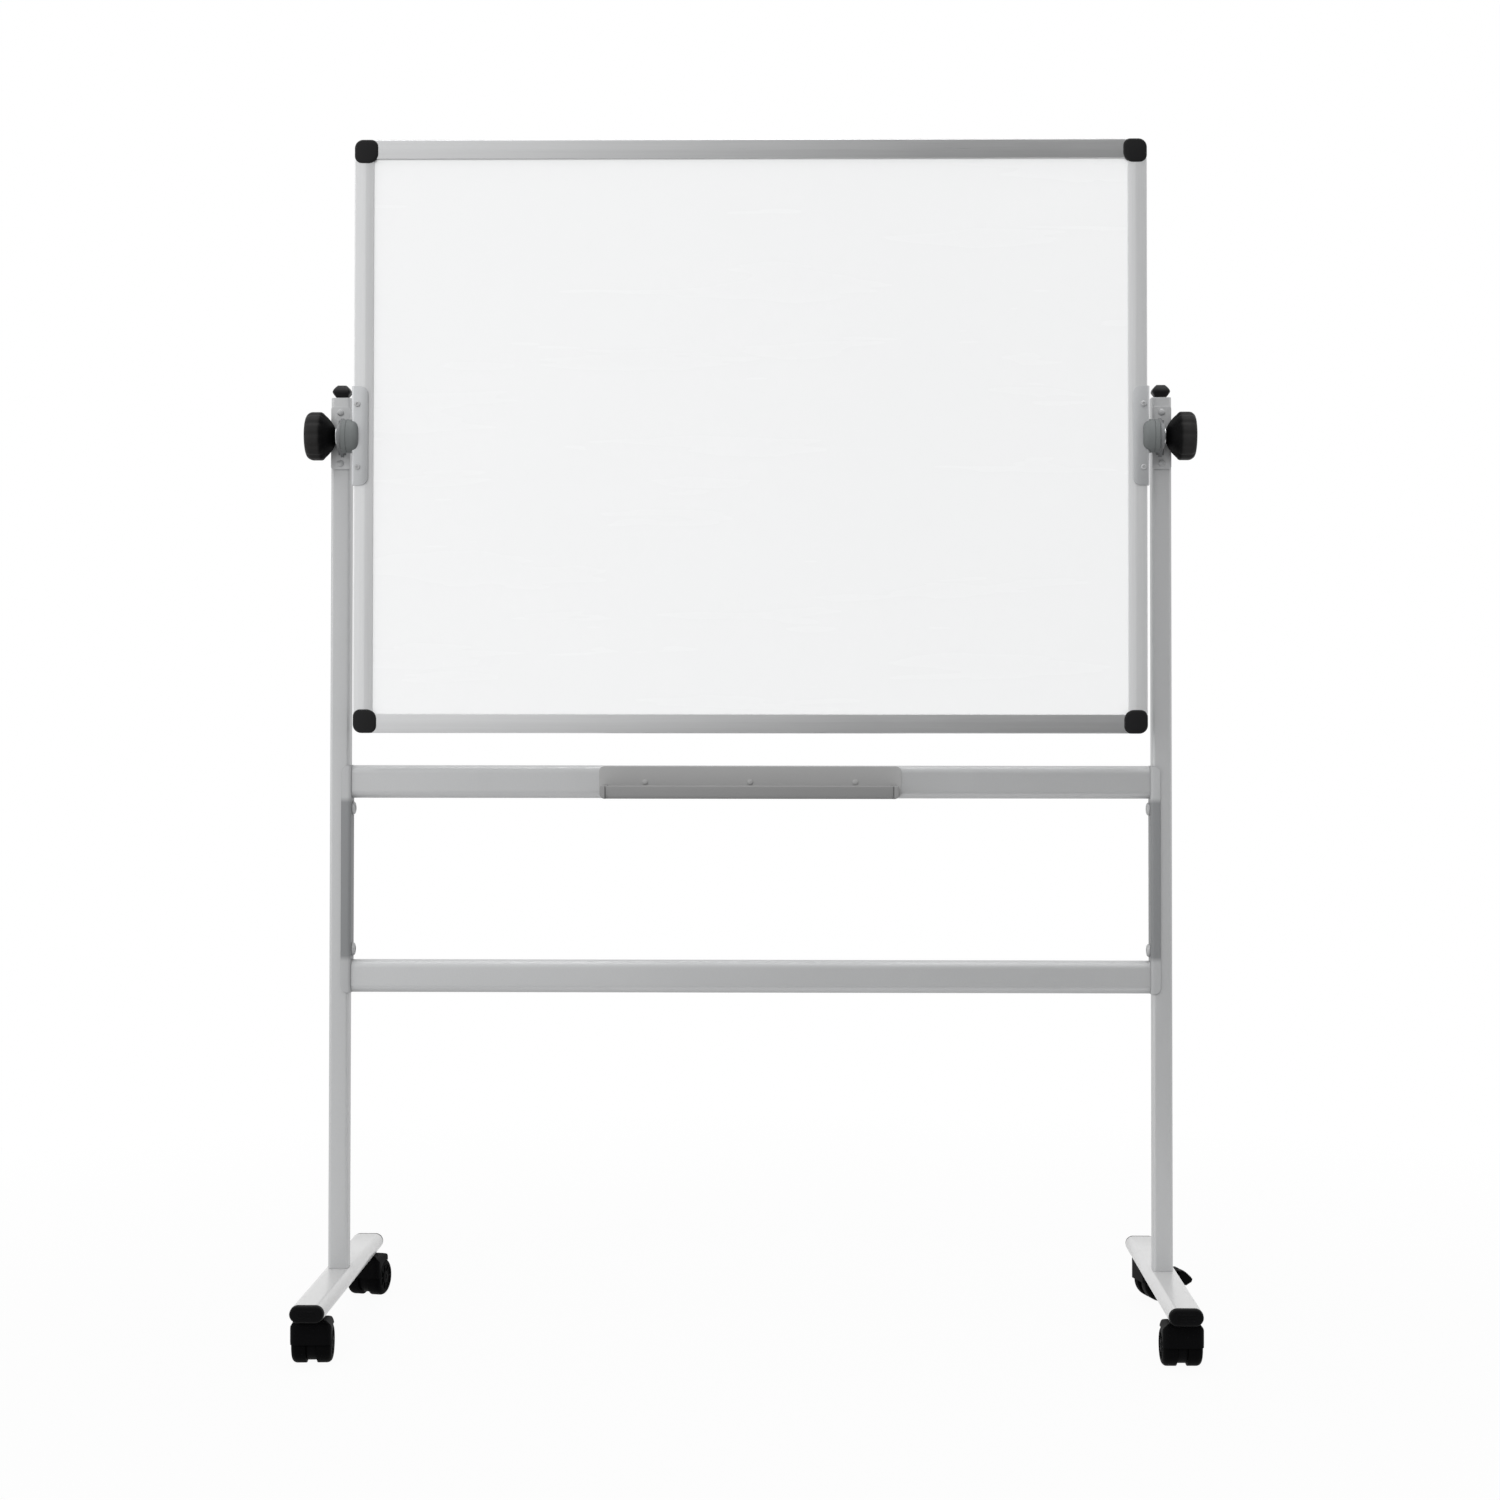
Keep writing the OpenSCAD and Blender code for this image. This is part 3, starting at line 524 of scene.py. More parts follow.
class Repeater:
    """Copies of one pattern at marked places, each turned a little about its own Z."""

    SEED = 7

    def __init__(self) -> None:
        """Builds the tree."""
        inputs = {
            "Places": "geometry",
            "Pattern": "object",
            "Finish": "material",
            "Spin": "float",
            "Seed": "int",
        }
        self.nodes = NodeTree("copies_at_places", inputs)
        tree = self.nodes
        pattern = tree.node("GeometryNodeObjectInfo", None, {"Object": tree.wire("Pattern")}, "Geometry")
        turn = tree.node(
            "GeometryNodeInputNamedAttribute", {"data_type": "FLOAT_VECTOR"}, {"Name": "turn"}, "Attribute"
        )
        facing = tree.node("FunctionNodeEulerToRotation", None, {"Euler": turn})
        chance = tree.node(
            "FunctionNodeRandomValue",
            {"data_type": "FLOAT"},
            {2: 0.0, 3: tree.wire("Spin"), "Seed": tree.wire("Seed")},
            1,
        )
        spin = tree.node("FunctionNodeAxisAngleToRotation", None, {"Axis": (0, 0, 1), "Angle": chance})
        turned = tree.node(
            "FunctionNodeRotateRotation",
            {"rotation_space": "LOCAL"},
            {"Rotation": facing, "Rotate By": spin},
        )
        copies = tree.node(
            "GeometryNodeInstanceOnPoints",
            None,
            {"Points": tree.wire("Places"), "Instance": pattern, "Rotation": turned},
        )
        tree.close(tree.node("GeometryNodeRealizeInstances", None, {"Geometry": copies}))

    def copies(
        self, pattern: Form, places: Sequence[Matrix], finish: Finish, spin: float = 0.0
    ) -> bpy.types.Mesh:
        """Sets out the copies.

        Args:
            pattern: Form to repeat, about its own origin. It is used up.
            places: Local frame of each copy.
            finish: Finish of all the copies.
            spin: Largest turn of a copy about its own Z.

        Returns:
            All the copies as one mesh.
        """
        marks = bpy.data.meshes.new("places")
        marks.from_pydata([frame.translation for frame in places], [], [])
        turns = marks.attributes.new("turn", "FLOAT_VECTOR", "POINT")
        for mark, frame in zip(turns.data, places):
            mark.vector = frame.to_euler()
        master = bpy.data.objects.new("pattern", pattern.mesh("pattern"))
        bpy.context.scene.collection.objects.link(master)
        values = {"Pattern": master, "Finish": finish.material(), "Spin": spin, "Seed": self.SEED}
        result = self.nodes.run(marks, values)
        discard(master)
        return result


class RibRow:
    """Row of half-sunk round ribs: they run along X and follow each other along Y."""

    def __init__(self) -> None:
        """Builds the tree."""
        inputs = {
            "Start": "geometry",
            "Count": "int",
            "Pitch": "float",
            "Length": "float",
            "Radius": "float",
            "Finish": "material",
        }
        self.nodes = NodeTree("row_of_ribs", inputs)
        tree = self.nodes
        step = tree.node("ShaderNodeCombineXYZ", None, {"Y": tree.wire("Pitch")})
        span = tree.maths("MULTIPLY", tree.maths("SUBTRACT", tree.wire("Count"), 1), tree.wire("Pitch"))
        first = tree.node("ShaderNodeCombineXYZ", None, {"Y": tree.maths("MULTIPLY", span, -0.5)})
        row = tree.node(
            "GeometryNodeMeshLine",
            {"mode": "OFFSET"},
            {"Count": tree.wire("Count"), "Start Location": first, "Offset": step},
        )
        rod = tree.node(
            "GeometryNodeMeshCylinder",
            {"fill_type": "NGON"},
            {"Vertices": 16, "Radius": tree.wire("Radius"), "Depth": tree.wire("Length")},
            "Mesh",
        )
        lying = tree.node("FunctionNodeEulerToRotation", None, {"Euler": (0, math.pi / 2, 0)})
        copies = tree.node(
            "GeometryNodeInstanceOnPoints", None, {"Points": row, "Instance": rod, "Rotation": lying}
        )
        tree.close(tree.node("GeometryNodeRealizeInstances", None, {"Geometry": copies}))

    def ribs(self, count: int, pitch: float, length: float, radius: float, finish: Finish) -> bpy.types.Mesh:
        """Makes a row.

        Args:
            count: Number of ribs.
            pitch: Distance between neighbours.
            length: Length of each rib.
            radius: Radius of each rib.
            finish: Finish of the ribs.

        Returns:
            The row as one mesh, centred on the local origin.
        """
        values = {
            "Count": count,
            "Pitch": pitch,
            "Length": length,
            "Radius": radius,
            "Finish": finish.material(),
        }
        return self.nodes.run(bpy.data.meshes.new("start"), values)


class Fluter:
    """Flutes pressed into the rim of a turned shape about the local Z."""

    def __init__(self) -> None:
        """Builds the tree."""
        inputs = {
            "Turned Shape": "geometry",
            "Flutes": "int",
            "Depth": "float",
            "Rim Radius": "float",
            "Fade": "float",
            "Finish": "material",
        }
        self.nodes = NodeTree("fluted_rim", inputs)
        tree = self.nodes
        point = tree.node("GeometryNodeInputPosition")
        split = self.nodes.tree.nodes.new("ShaderNodeSeparateXYZ")
        tree.tree.links.new(point, split.inputs[0])
        x, y = split.outputs["X"], split.outputs["Y"]
        squares = (tree.maths("MULTIPLY", x, x), tree.maths("MULTIPLY", y, y))
        radius = tree.maths("SQRT", tree.maths("ADD", *squares))
        angle = tree.maths("ARCTAN2", y, x)
        wave = tree.maths("COSINE", tree.maths("MULTIPLY", angle, tree.wire("Flutes")))
        hollow = tree.maths("POWER", tree.maths("MULTIPLY_ADD", wave, 0.5, 0.5), 3.0)
        below = tree.maths("SUBTRACT", tree.wire("Rim Radius"), radius)
        near = tree.maths("SUBTRACT", 1.0, tree.maths("DIVIDE", below, tree.wire("Fade")))
        share = self.nodes.tree.nodes.new("ShaderNodeClamp")
        tree.tree.links.new(near, share.inputs["Value"])
        press = tree.maths("MULTIPLY", tree.maths("MULTIPLY", hollow, share.outputs[0]), tree.wire("Depth"))
        ratio = tree.maths("DIVIDE", press, tree.maths("MAXIMUM", radius, 0.001))
        scale = tree.maths("MULTIPLY", ratio, -1.0)
        moves = {"X": tree.maths("MULTIPLY", x, scale), "Y": tree.maths("MULTIPLY", y, scale)}
        shift = tree.node("ShaderNodeCombineXYZ", None, moves)
        moved = tree.node(
            "GeometryNodeSetPosition", None, {"Geometry": tree.wire("Turned Shape"), "Offset": shift}
        )
        tree.close(tree.node("GeometryNodeRealizeInstances", None, {"Geometry": moved}))

    def press(
        self, shape: Form, flutes: int, depth: float, rim_radius: float, fade: float, finish: Finish
    ) -> bpy.types.Mesh:
        """Presses the flutes.

        Args:
            shape: Turned shape. It is used up.
            flutes: Number of flutes.
            depth: Depth of each flute.
            rim_radius: Radius of the rim.
            fade: Distance below the rim over which the flutes run out.
            finish: Finish of the shape.

        Returns:
            The fluted shape as a plain mesh.
        """
        values = {
            "Flutes": flutes,
            "Depth": depth,
            "Rim Radius": rim_radius,
            "Fade": fade,
            "Finish": finish.material(),
        }
        return self.nodes.run(shape.mesh("turned"), values)


# Materials


class Signal:
    """A shader socket that joins in arithmetic."""

    def __init__(self, graph: Graph, socket: bpy.types.NodeSocket) -> None:
        """Wraps an output socket of a graph."""
        self.graph = graph
        self.socket = socket

    def maths(self, operation: str, *values: Signal | float) -> Signal:
        """Adds a Math node."""
        return self.graph.node("ShaderNodeMath", {"operation": operation}, dict(enumerate(values)))

    def __add__(self, other: Signal | float) -> Signal:
        """Sum."""
        return self.maths("ADD", self, other)

    def __sub__(self, other: Signal | float) -> Signal:
        """Difference."""
        return self.maths("SUBTRACT", self, other)

    def __rsub__(self, other: float) -> Signal:
        """Difference from a number."""
        return self.maths("SUBTRACT", other, self)

    def __mul__(self, other: Signal | float) -> Signal:
        """Product."""
        return self.maths("MULTIPLY", self, other)

    def __pow__(self, other: float) -> Signal:
        """Power."""
        return self.maths("POWER", self, other)

    __radd__ = __add__
    __rmul__ = __mul__


class Graph:
    """The nodes of one material or of the world."""

    def __init__(self, tree: bpy.types.NodeTree) -> None:
        """Takes the tree over."""
        self.tree = tree

    def node(
        self,
        kind: str,
        settings: Mapping[str, Any] | None = None,
        sockets: Mapping[str | int, Any] | None = None,
        output: str | int = 0,
    ) -> Signal:
        """Adds a node.

        Args:
            kind: Type of the node.
            settings: Its properties, or a ramp's stops, set first.
            sockets: Values or links of its inputs.
            output: Output that is handed on.

        Returns:
            That output.
        """
        node = self.tree.nodes.new(kind)
        for name, value in (settings or {}).items():
            if name == "stops":
                for element, (position, level) in zip(node.color_ramp.elements, value):
                    element.position = position
                    element.color = (level, level, level, 1.0)
            else:
                setattr(node, name, value)
        for name, value in (sockets or {}).items():
            self.feed(value, node.inputs[name])
        return Signal(self, node.outputs[output])

    def feed(self, value: Any, socket: bpy.types.NodeSocket) -> None:
        """Links a signal to a socket, or sets its value."""
        if isinstance(value, Signal):
            self.tree.links.new(value.socket, socket)
        else:
            socket.default_value = value

    def end(self, shader: Signal) -> None:
        """Ends the graph in a surface."""
        self.feed(shader, self.tree.nodes.new("ShaderNodeOutputMaterial").inputs["Surface"])

    def point(self, stretch: Sequence[float] | None = None, turn: float = 0.0) -> Signal:
        """Object coordinates, stretched and turned about Y where that is asked for."""
        spot = self.node("ShaderNodeTexCoord", output="Object")
        if stretch is None:
            return spot
        return self.node(
            "ShaderNodeMapping",
            None,
            {"Vector": spot, "Rotation": (0.0, turn, 0.0), "Scale": tuple(stretch)},
        )

    def noise(self, spot: Signal, per_metre: float, detail: float = 2.0) -> Signal:
        """Cloudy noise of about a given number of spots in a metre."""
        sockets = {"Vector": spot, "Scale": per_metre, "Detail": detail, "Roughness": 0.55}
        return self.node("ShaderNodeTexNoise", {"noise_dimensions": "3D"}, sockets)

    def cells(self, spot: Signal, per_metre: float) -> Signal:
        """Grey level of random cells."""
        colour = self.node("ShaderNodeTexVoronoi", None, {"Vector": spot, "Scale": per_metre}, "Color")
        return self.node("ShaderNodeSeparateColor", None, {"Color": colour}, "Red")

    def ramp(self, value: Signal, low: float, high: float) -> Signal:
        """Share from 0 at the low level to 1 at the high one."""
        return self.node("ShaderNodeValToRGB", {"stops": ((low, 0.0), (high, 1.0))}, {"Fac": value})

    def blend(self, first: Colour | Signal, second: Colour | Signal, share: Signal) -> Signal:
        """Mixes two colours, fixed or varying ones."""
        sides = [side if isinstance(side, Signal) else (*side, 1.0) for side in (first, second)]
        return self.node("ShaderNodeMix", {"data_type": "RGBA"}, {0: share, 6: sides[0], 7: sides[1]}, 2)

    def bump(self, height: Signal, depth: float, strength: float) -> Signal:
        """Normal of a surface with that height over it."""
        return self.node(
            "ShaderNodeBump", None, {"Height": height, "Distance": depth, "Strength": strength}, "Normal"
        )


def toned(colour: Colour, share: float) -> Colour:
    """Colour made lighter or darker by a share."""
    return tuple(min(level * share, 1.0) for level in colour)


@dataclass(frozen=True)
class Finish:
    """Finish of one of the record's material slots.

    Attributes:
        slot: The slot.
        colour: Linear base colour.
        roughness: Middle roughness.
        metallic: Share of bare metal.
        coat: Weight of the clear coat.
        specular: Level of the mirror of a bare plastic or paint.
        variant: Word that tells the finishes of one slot apart.
    """

    slot: str
    colour: Colour
    roughness: float
    metallic: float = 0.0
    coat: float = 0.0
    specular: float = 0.5
    variant: str = "finish"

    @property
    def label(self) -> str:
        """Name of the material."""
        return f"{self.slot}_{self.variant}"

    def layers(self, graph: Graph) -> dict[str, Signal]:
        """What changes over the surface, by the shader's socket."""
        raise NotImplementedError

    def material(self) -> bpy.types.Material:
        """The finish as a material, made once."""
        found = bpy.data.materials.get(self.label)
        if found:
            return found
        material = bpy.data.materials.new(self.label)
        material.use_nodes = True
        graph = Graph(material.node_tree)
        shader = material.node_tree.nodes["Principled BSDF"]
        shader.inputs["Metallic"].default_value = self.metallic
        shader.inputs["Specular IOR Level"].default_value = self.specular
        shader.inputs["Coat Weight"].default_value = self.coat
        shader.inputs["Coat Roughness"].default_value = 0.12
        for name, signal in self.layers(graph).items():
            graph.feed(signal, shader.inputs[name])
        return material


@dataclass(frozen=True)
class Enamel(Finish):
    """Glossy writing surface, faintly streaked by wiping."""

    def layers(self, graph: Graph) -> dict[str, Signal]:
        """Wiping streaks, slow tone and a slight ripple of the sheet."""
        streaks = graph.noise(graph.point((1.6, 1.0, 16.0), math.radians(12)), 1.4, 3.0)
        haze = graph.noise(graph.point(), 3.0)
        ripple = graph.noise(graph.point(), 28.0, 1.0)
        wiped = graph.ramp(streaks, 0.5, 0.72)
        return {
            "Base Color": graph.blend(toned(self.colour, 0.985), self.colour, haze),
            "Roughness": self.roughness + wiped * 0.02 + haze * 0.03,
            "Normal": graph.bump(ripple, 0.0001, 0.12),
        }


@dataclass(frozen=True)
class BrushedMetal(Finish):
    """Anodised metal with fine lines along its bars."""

    along: Axis = Axis.X

    @property
    def label(self) -> str:
        """Name of the material, by its direction."""
        return f"{self.slot}_{self.variant}_{self.along.name.lower()}"

    def layers(self, graph: Graph) -> dict[str, Signal]:
        """Drawn lines, broader bands and a slow change of tone."""
        lines = graph.noise(graph.point(self.along.value), 1900.0, 3.0)
        bands = graph.noise(graph.point(self.along.value), 260.0)
        drift = graph.noise(graph.point(), 2.4)
        share = lines * 0.45 + bands * 0.3 + drift * 0.25
        return {
            "Base Color": graph.blend(toned(self.colour, 0.86), toned(self.colour, 1.14), share),
            "Roughness": self.roughness + (lines - 0.5) * 0.16 + (drift - 0.5) * 0.08,
            "Normal": graph.bump(lines, 0.00005, 0.25),
        }


@dataclass(frozen=True)
class PowderCoat(Finish):
    """Baked paint with a light orange peel and fine flakes."""

    def layers(self, graph: Graph) -> dict[str, Signal]:
        """Flakes, peel, slow tone and worn patches."""
        peel = graph.noise(graph.point(), 420.0)
        flakes = graph.cells(graph.point(), 2600.0)
        drift = graph.noise(graph.point(), 3.2)
        rubbed = graph.ramp(graph.noise(graph.point((1.0, 1.0, 0.25)), 34.0, 4.0), 0.56, 0.78)
        share = flakes * 0.35 + drift * 0.45 + peel * 0.2
        return {
            "Base Color": graph.blend(toned(self.colour, 0.9), toned(self.colour, 1.1), share),
            "Roughness": self.roughness + (peel - 0.5) * 0.1 + rubbed * 0.1,
            "Metallic": self.metallic + (flakes - 0.5) * 0.2,
            "Normal": graph.bump(peel, 0.00025, 0.22),
        }


@dataclass(frozen=True)
class BandedCoat(PowderCoat):
    """Baked paint that is paler at certain heights and darker between them as painted shade.

    Attributes:
        pale: Colour of the pale bands.
        levels: Heights of the middles of the bands.
        reach: Distances from those heights between which the bands run out.
    """

    pale: Colour = (0.4, 0.405, 0.41)
    levels: Point = (0.8335, 0.5375)
    reach: Point = (0.024, 0.031)

    def layers(self, graph: Graph) -> dict[str, Signal]:
        """The paint, with the bands over its colour."""
        found = super().layers(graph)
        height = graph.node("ShaderNodeSeparateXYZ", None, {"Vector": graph.point()}, "Z")
        upper, lower = (height.maths("ABSOLUTE", height - level) for level in self.levels)
        share = graph.ramp(height.maths("MINIMUM", upper, lower), *self.reach)
        # Painted shade: away from the bands the paint keeps its darker colour, standing for the shade
        # between the crossbars.
        found["Base Color"] = graph.blend(self.pale, found["Base Color"], share)
        return found


@dataclass(frozen=True)
class MouldedPlastic(Finish):
    """Moulded plastic with a fine eroded grain and light scuffs.

    Attributes:
        scuff: Colour of the scuffs.
    """

    scuff: Colour = (0.012, 0.012, 0.013)

    def layers(self, graph: Graph) -> dict[str, Signal]:
        """Grain, flow marks and scuffs."""
        grain = graph.noise(graph.point(), 1300.0, 1.0)
        flow = graph.noise(graph.point(), 26.0, 3.0)
        scratches = graph.noise(graph.point((1.0, 6.0, 2.0), 0.6), 90.0, 4.0)
        scuffed = graph.ramp(scratches, 0.62, 0.86)
        return {
            "Base Color": graph.blend(self.colour, self.scuff, scuffed * 0.55 + flow * 0.12),
            "Roughness": self.roughness + (flow - 0.5) * 0.16 + scuffed * 0.14,
            "Normal": graph.bump(grain, 0.0002, 0.2),
        }


@dataclass(frozen=True)
class GripPlastic(MouldedPlastic):
    """Moulded plastic made paler towards its outer end: painted light on the rim, where light falls.

    Attributes:
        rubbed: Colour of the outer end, painted light.
        reach: Distances from the middle of the part between which it begins.
    """

    rubbed: Colour = (0.024, 0.0235, 0.0235)
    reach: Point = (0.648, 0.653)

    def layers(self, graph: Graph) -> dict[str, Signal]:
        """The plastic, with the painted light of its outer end over its colour."""
        found = super().layers(graph)
        across = graph.node("ShaderNodeSeparateXYZ", None, {"Vector": graph.point()}, "X")
        # Painted light: the outer end is made paler, where light falls on the rim.
        share = graph.ramp(across.maths("ABSOLUTE", across), *self.reach)
        found["Base Color"] = graph.blend(found["Base Color"], self.rubbed, share)
        return found


@dataclass(frozen=True)
class PlatedMetal(Finish):
    """Plated or turned metal with a fine spangle."""

    def layers(self, graph: Graph) -> dict[str, Signal]:
        """Spangle, tarnish and fine scratches."""
        spangle = graph.cells(graph.point(), 520.0)
        tarnish = graph.noise(graph.point(), 120.0, 3.0)
        scratches = graph.noise(graph.point((1.0, 1.0, 9.0)), 700.0)
        return {
            "Base Color": graph.blend(
                toned(self.colour, 0.8), toned(self.colour, 1.1), spangle * 0.5 + tarnish * 0.5
            ),
            "Roughness": self.roughness + (tarnish - 0.5) * 0.2 + (scratches - 0.5) * 0.1,
            "Normal": graph.bump(scratches, 0.00004, 0.2),
        }


@dataclass(frozen=True)
class PressedBoard(Finish):
    """Pressed fibre core."""

    def layers(self, graph: Graph) -> dict[str, Signal]:
        """Chips and fibres."""
        chips = graph.cells(graph.point((1.0, 3.0, 1.0)), 240.0)
        fibres = graph.noise(graph.point(), 900.0, 3.0)
        return {
            "Base Color": graph.blend(
                toned(self.colour, 0.7), toned(self.colour, 1.2), chips * 0.6 + fibres * 0.4
            ),
            "Roughness": self.roughness + (fibres - 0.5) * 0.1,
            "Normal": graph.bump(chips, 0.0002, 0.4),
        }


class Finishes:
    """All the finishes of the object."""

    core = PressedBoard("core_board", (0.42, 0.3, 0.18), 0.8)
    sheet = Enamel("writing_surface", (0.885, 0.89, 0.893), 0.25, coat=0.1, specular=0.25)
    frame_x = BrushedMetal("frame_aluminium", (0.69, 0.695, 0.7), 0.32, metallic=0.85)
    frame_z = BrushedMetal("frame_aluminium", (0.68, 0.685, 0.69), 0.4, metallic=0.5, along=Axis.Z)
    corner = MouldedPlastic("corner_plastic", (0.008, 0.008, 0.0085), 0.5, specular=0.2)
    bracket = PowderCoat("bracket_paint", (0.56, 0.57, 0.58), 0.45, metallic=0.68, specular=0.3)
    hub = MouldedPlastic("hub_plastic", (0.145, 0.155, 0.155), 0.55, specular=0.2, scuff=(0.2, 0.21, 0.21))
    nylon = MouldedPlastic("nylon", (0.21, 0.215, 0.22), 0.6, specular=0.2, scuff=(0.26, 0.26, 0.26))
    ear = PowderCoat(
        "bracket_paint", (0.2, 0.205, 0.21), 0.5, metallic=0.1, specular=0.25, variant="ear"
    )
    zinc = PlatedMetal("zinc_steel", (0.62, 0.63, 0.64), 0.3, metallic=1.0)
    painted_bolt = PowderCoat(
        "zinc_steel", (0.44, 0.445, 0.45), 0.5, metallic=0.3, specular=0.3, variant="painted"
    )
    # The tray screws take the back plate's paler tone, which holds painted light.
    tray_bolt = PowderCoat("zinc_steel", (0.38, 0.38, 0.38), 0.5, specular=0.3, variant="tray")
    brass = PlatedMetal("brass", (0.62, 0.43, 0.16), 0.3, metallic=1.0)
    # Clamp knobs: black, with painted light on the outer rim.
    knob = GripPlastic(
        "knob_plastic", (0.0012, 0.0012, 0.0014), 0.5, specular=0.05, scuff=(0.004, 0.004, 0.0042)
    )
    stand = PowderCoat("stand_paint", (0.505, 0.51, 0.515), 0.45, metallic=0.4, specular=0.35)
    foot = PowderCoat("foot_paint", (0.55, 0.55, 0.55), 0.3, metallic=0.1, coat=0.4, specular=0.5)
    # Side channels: darker between the crossbars as painted shade, with pale bands at the crossbars'
    # heights.
    channel = BandedCoat("channel_paint", (0.22, 0.225, 0.23), 0.5, metallic=0.1, specular=0.25)
    # Lit and shaded copies of one tray paint: the trough and lip are darker as painted shade, the back plate
    # paler as painted light.
    tray = PowderCoat("tray_paint", (0.24, 0.24, 0.24), 0.5, metallic=0.1, specular=0.3)
    tray_back = PowderCoat(
        "tray_paint", (0.38, 0.38, 0.38), 0.5, metallic=0.1, specular=0.3, variant="back"
    )
    tray_cap = MouldedPlastic(
        "tray_cap_plastic", (0.24, 0.24, 0.24), 0.55, specular=0.25, scuff=(0.28, 0.28, 0.28)
    )
    cap = MouldedPlastic("cap_plastic", (0.009, 0.009, 0.0095), 0.5, specular=0.2)
    foot_cap = MouldedPlastic(
        "cap_plastic",
        (0.003, 0.003, 0.0033),
        0.55,
        specular=0.05,
        scuff=(0.006, 0.006, 0.006),
        variant="foot",
    )
    caster = MouldedPlastic(
        "caster_plastic", (0.0022, 0.0022, 0.0025), 0.5, specular=0.03, scuff=(0.005, 0.005, 0.005)
    )
    wheel = MouldedPlastic(
        "wheel_plastic", (0.002, 0.002, 0.0022), 0.55, specular=0.02, scuff=(0.005, 0.005, 0.005)
    )


# Pieces


class Bench:
    """Where forms become pieces of the object."""

    def __init__(self, frame: Mapping[str, Any]) -> None:
        """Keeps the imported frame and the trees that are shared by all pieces."""
        self.nodes = frame["nodes"]
        self.repeater = Repeater()
        self.ribs = RibRow()
        self.fluter = Fluter()

    def piece(
        self,
        name: str,
        form: Form | bpy.types.Mesh,
        finish: Finish,
        body: str,
        stands_for: Sequence[str] = (),
    ) -> bpy.types.Object:
        """Ends a form as a piece.

        Args:
            name: Name of the piece.
            form: Form, or plain mesh, with its place in it.
            finish: Finish of the piece.
            body: Body that it rides on.
            stands_for: CAD nodes that it replaces.

        Returns:
            The piece.
        """
        mesh = form.mesh(name) if isinstance(form, Form) else form
        mesh.name = name
        mesh.materials.clear()
        mesh.materials.append(finish.material())
        obj = bpy.data.objects.new(name, mesh)
        bpy.context.scene.collection.objects.link(obj)
        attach(obj, body)
        if stands_for:
            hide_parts(*stands_for)
        LOG.info("%s: %d faces on %s", name, len(mesh.polygons), body)
        return obj

    def dress(self, finish: Finish, *nodes: str) -> None:
        """Gives CAD nodes whose shape is right their finish."""
        for node in nodes:
            slots = self.nodes[node].material_slots
            for slot in slots:
                slot.material = finish.material()
            LOG.info("%s: kept, in %s", node, finish.label)


def button_head(radius: float, height: float, socket: float) -> Form:
    """Round bolt head with a hexagon socket, standing on the local XY plane.

    Args:
        radius: Radius of the head.
        height: Height of the head.
        socket: Radius of the socket's corners.

    Returns:
        The head.
    """
    count = 36
    rim = 0.25 * height
    rings = []
    levels = [(radius - rim * 0.4, 0.0), (radius, rim * 0.4), (radius, rim)]
    for k in range(1, 6):
        angle = math.pi / 2 * k / 6
        z = rim + (height - rim) * math.sin(angle)
        levels.append((socket + (radius - socket) * math.cos(angle), z))
    for r, z in levels:
        angles = [TURN * k / count for k in range(count)]
        rings.append([(r * math.cos(angle), r * math.sin(angle), z) for angle in angles])
    flat = socket * math.cos(math.pi / 6)
    sector = TURN / 6
    for grow, z in ((1.06, height), (1.0, height - 0.06 * height), (1.0, 0.4 * height)):
        ring = []
        for k in range(count):
            angle = TURN * k / count
            reach = grow * flat / math.cos(angle % sector - sector / 2)
            ring.append((reach * math.cos(angle), reach * math.sin(angle), z))
        rings.append(ring)
    return Form().skin(rings, Matrix())


def dome_head(radius: float, height: float) -> Form:
    """Plain domed screw head, standing on the local XY plane.

    Args:
        radius: Radius of the head.
        height: Height of the head.

    Returns:
        The head.
    """
    rim = 0.2 * height
    profile = [(0.0, 0.0), (radius, 0.0)]
    for k in range(8):
        angle = math.pi / 2 * k / 8
        profile.append((radius * math.cos(angle), rim + (height - rim) * math.sin(angle)))
    profile.append((0.0, height))
    return Form().lathe(profile, Matrix(), 36)


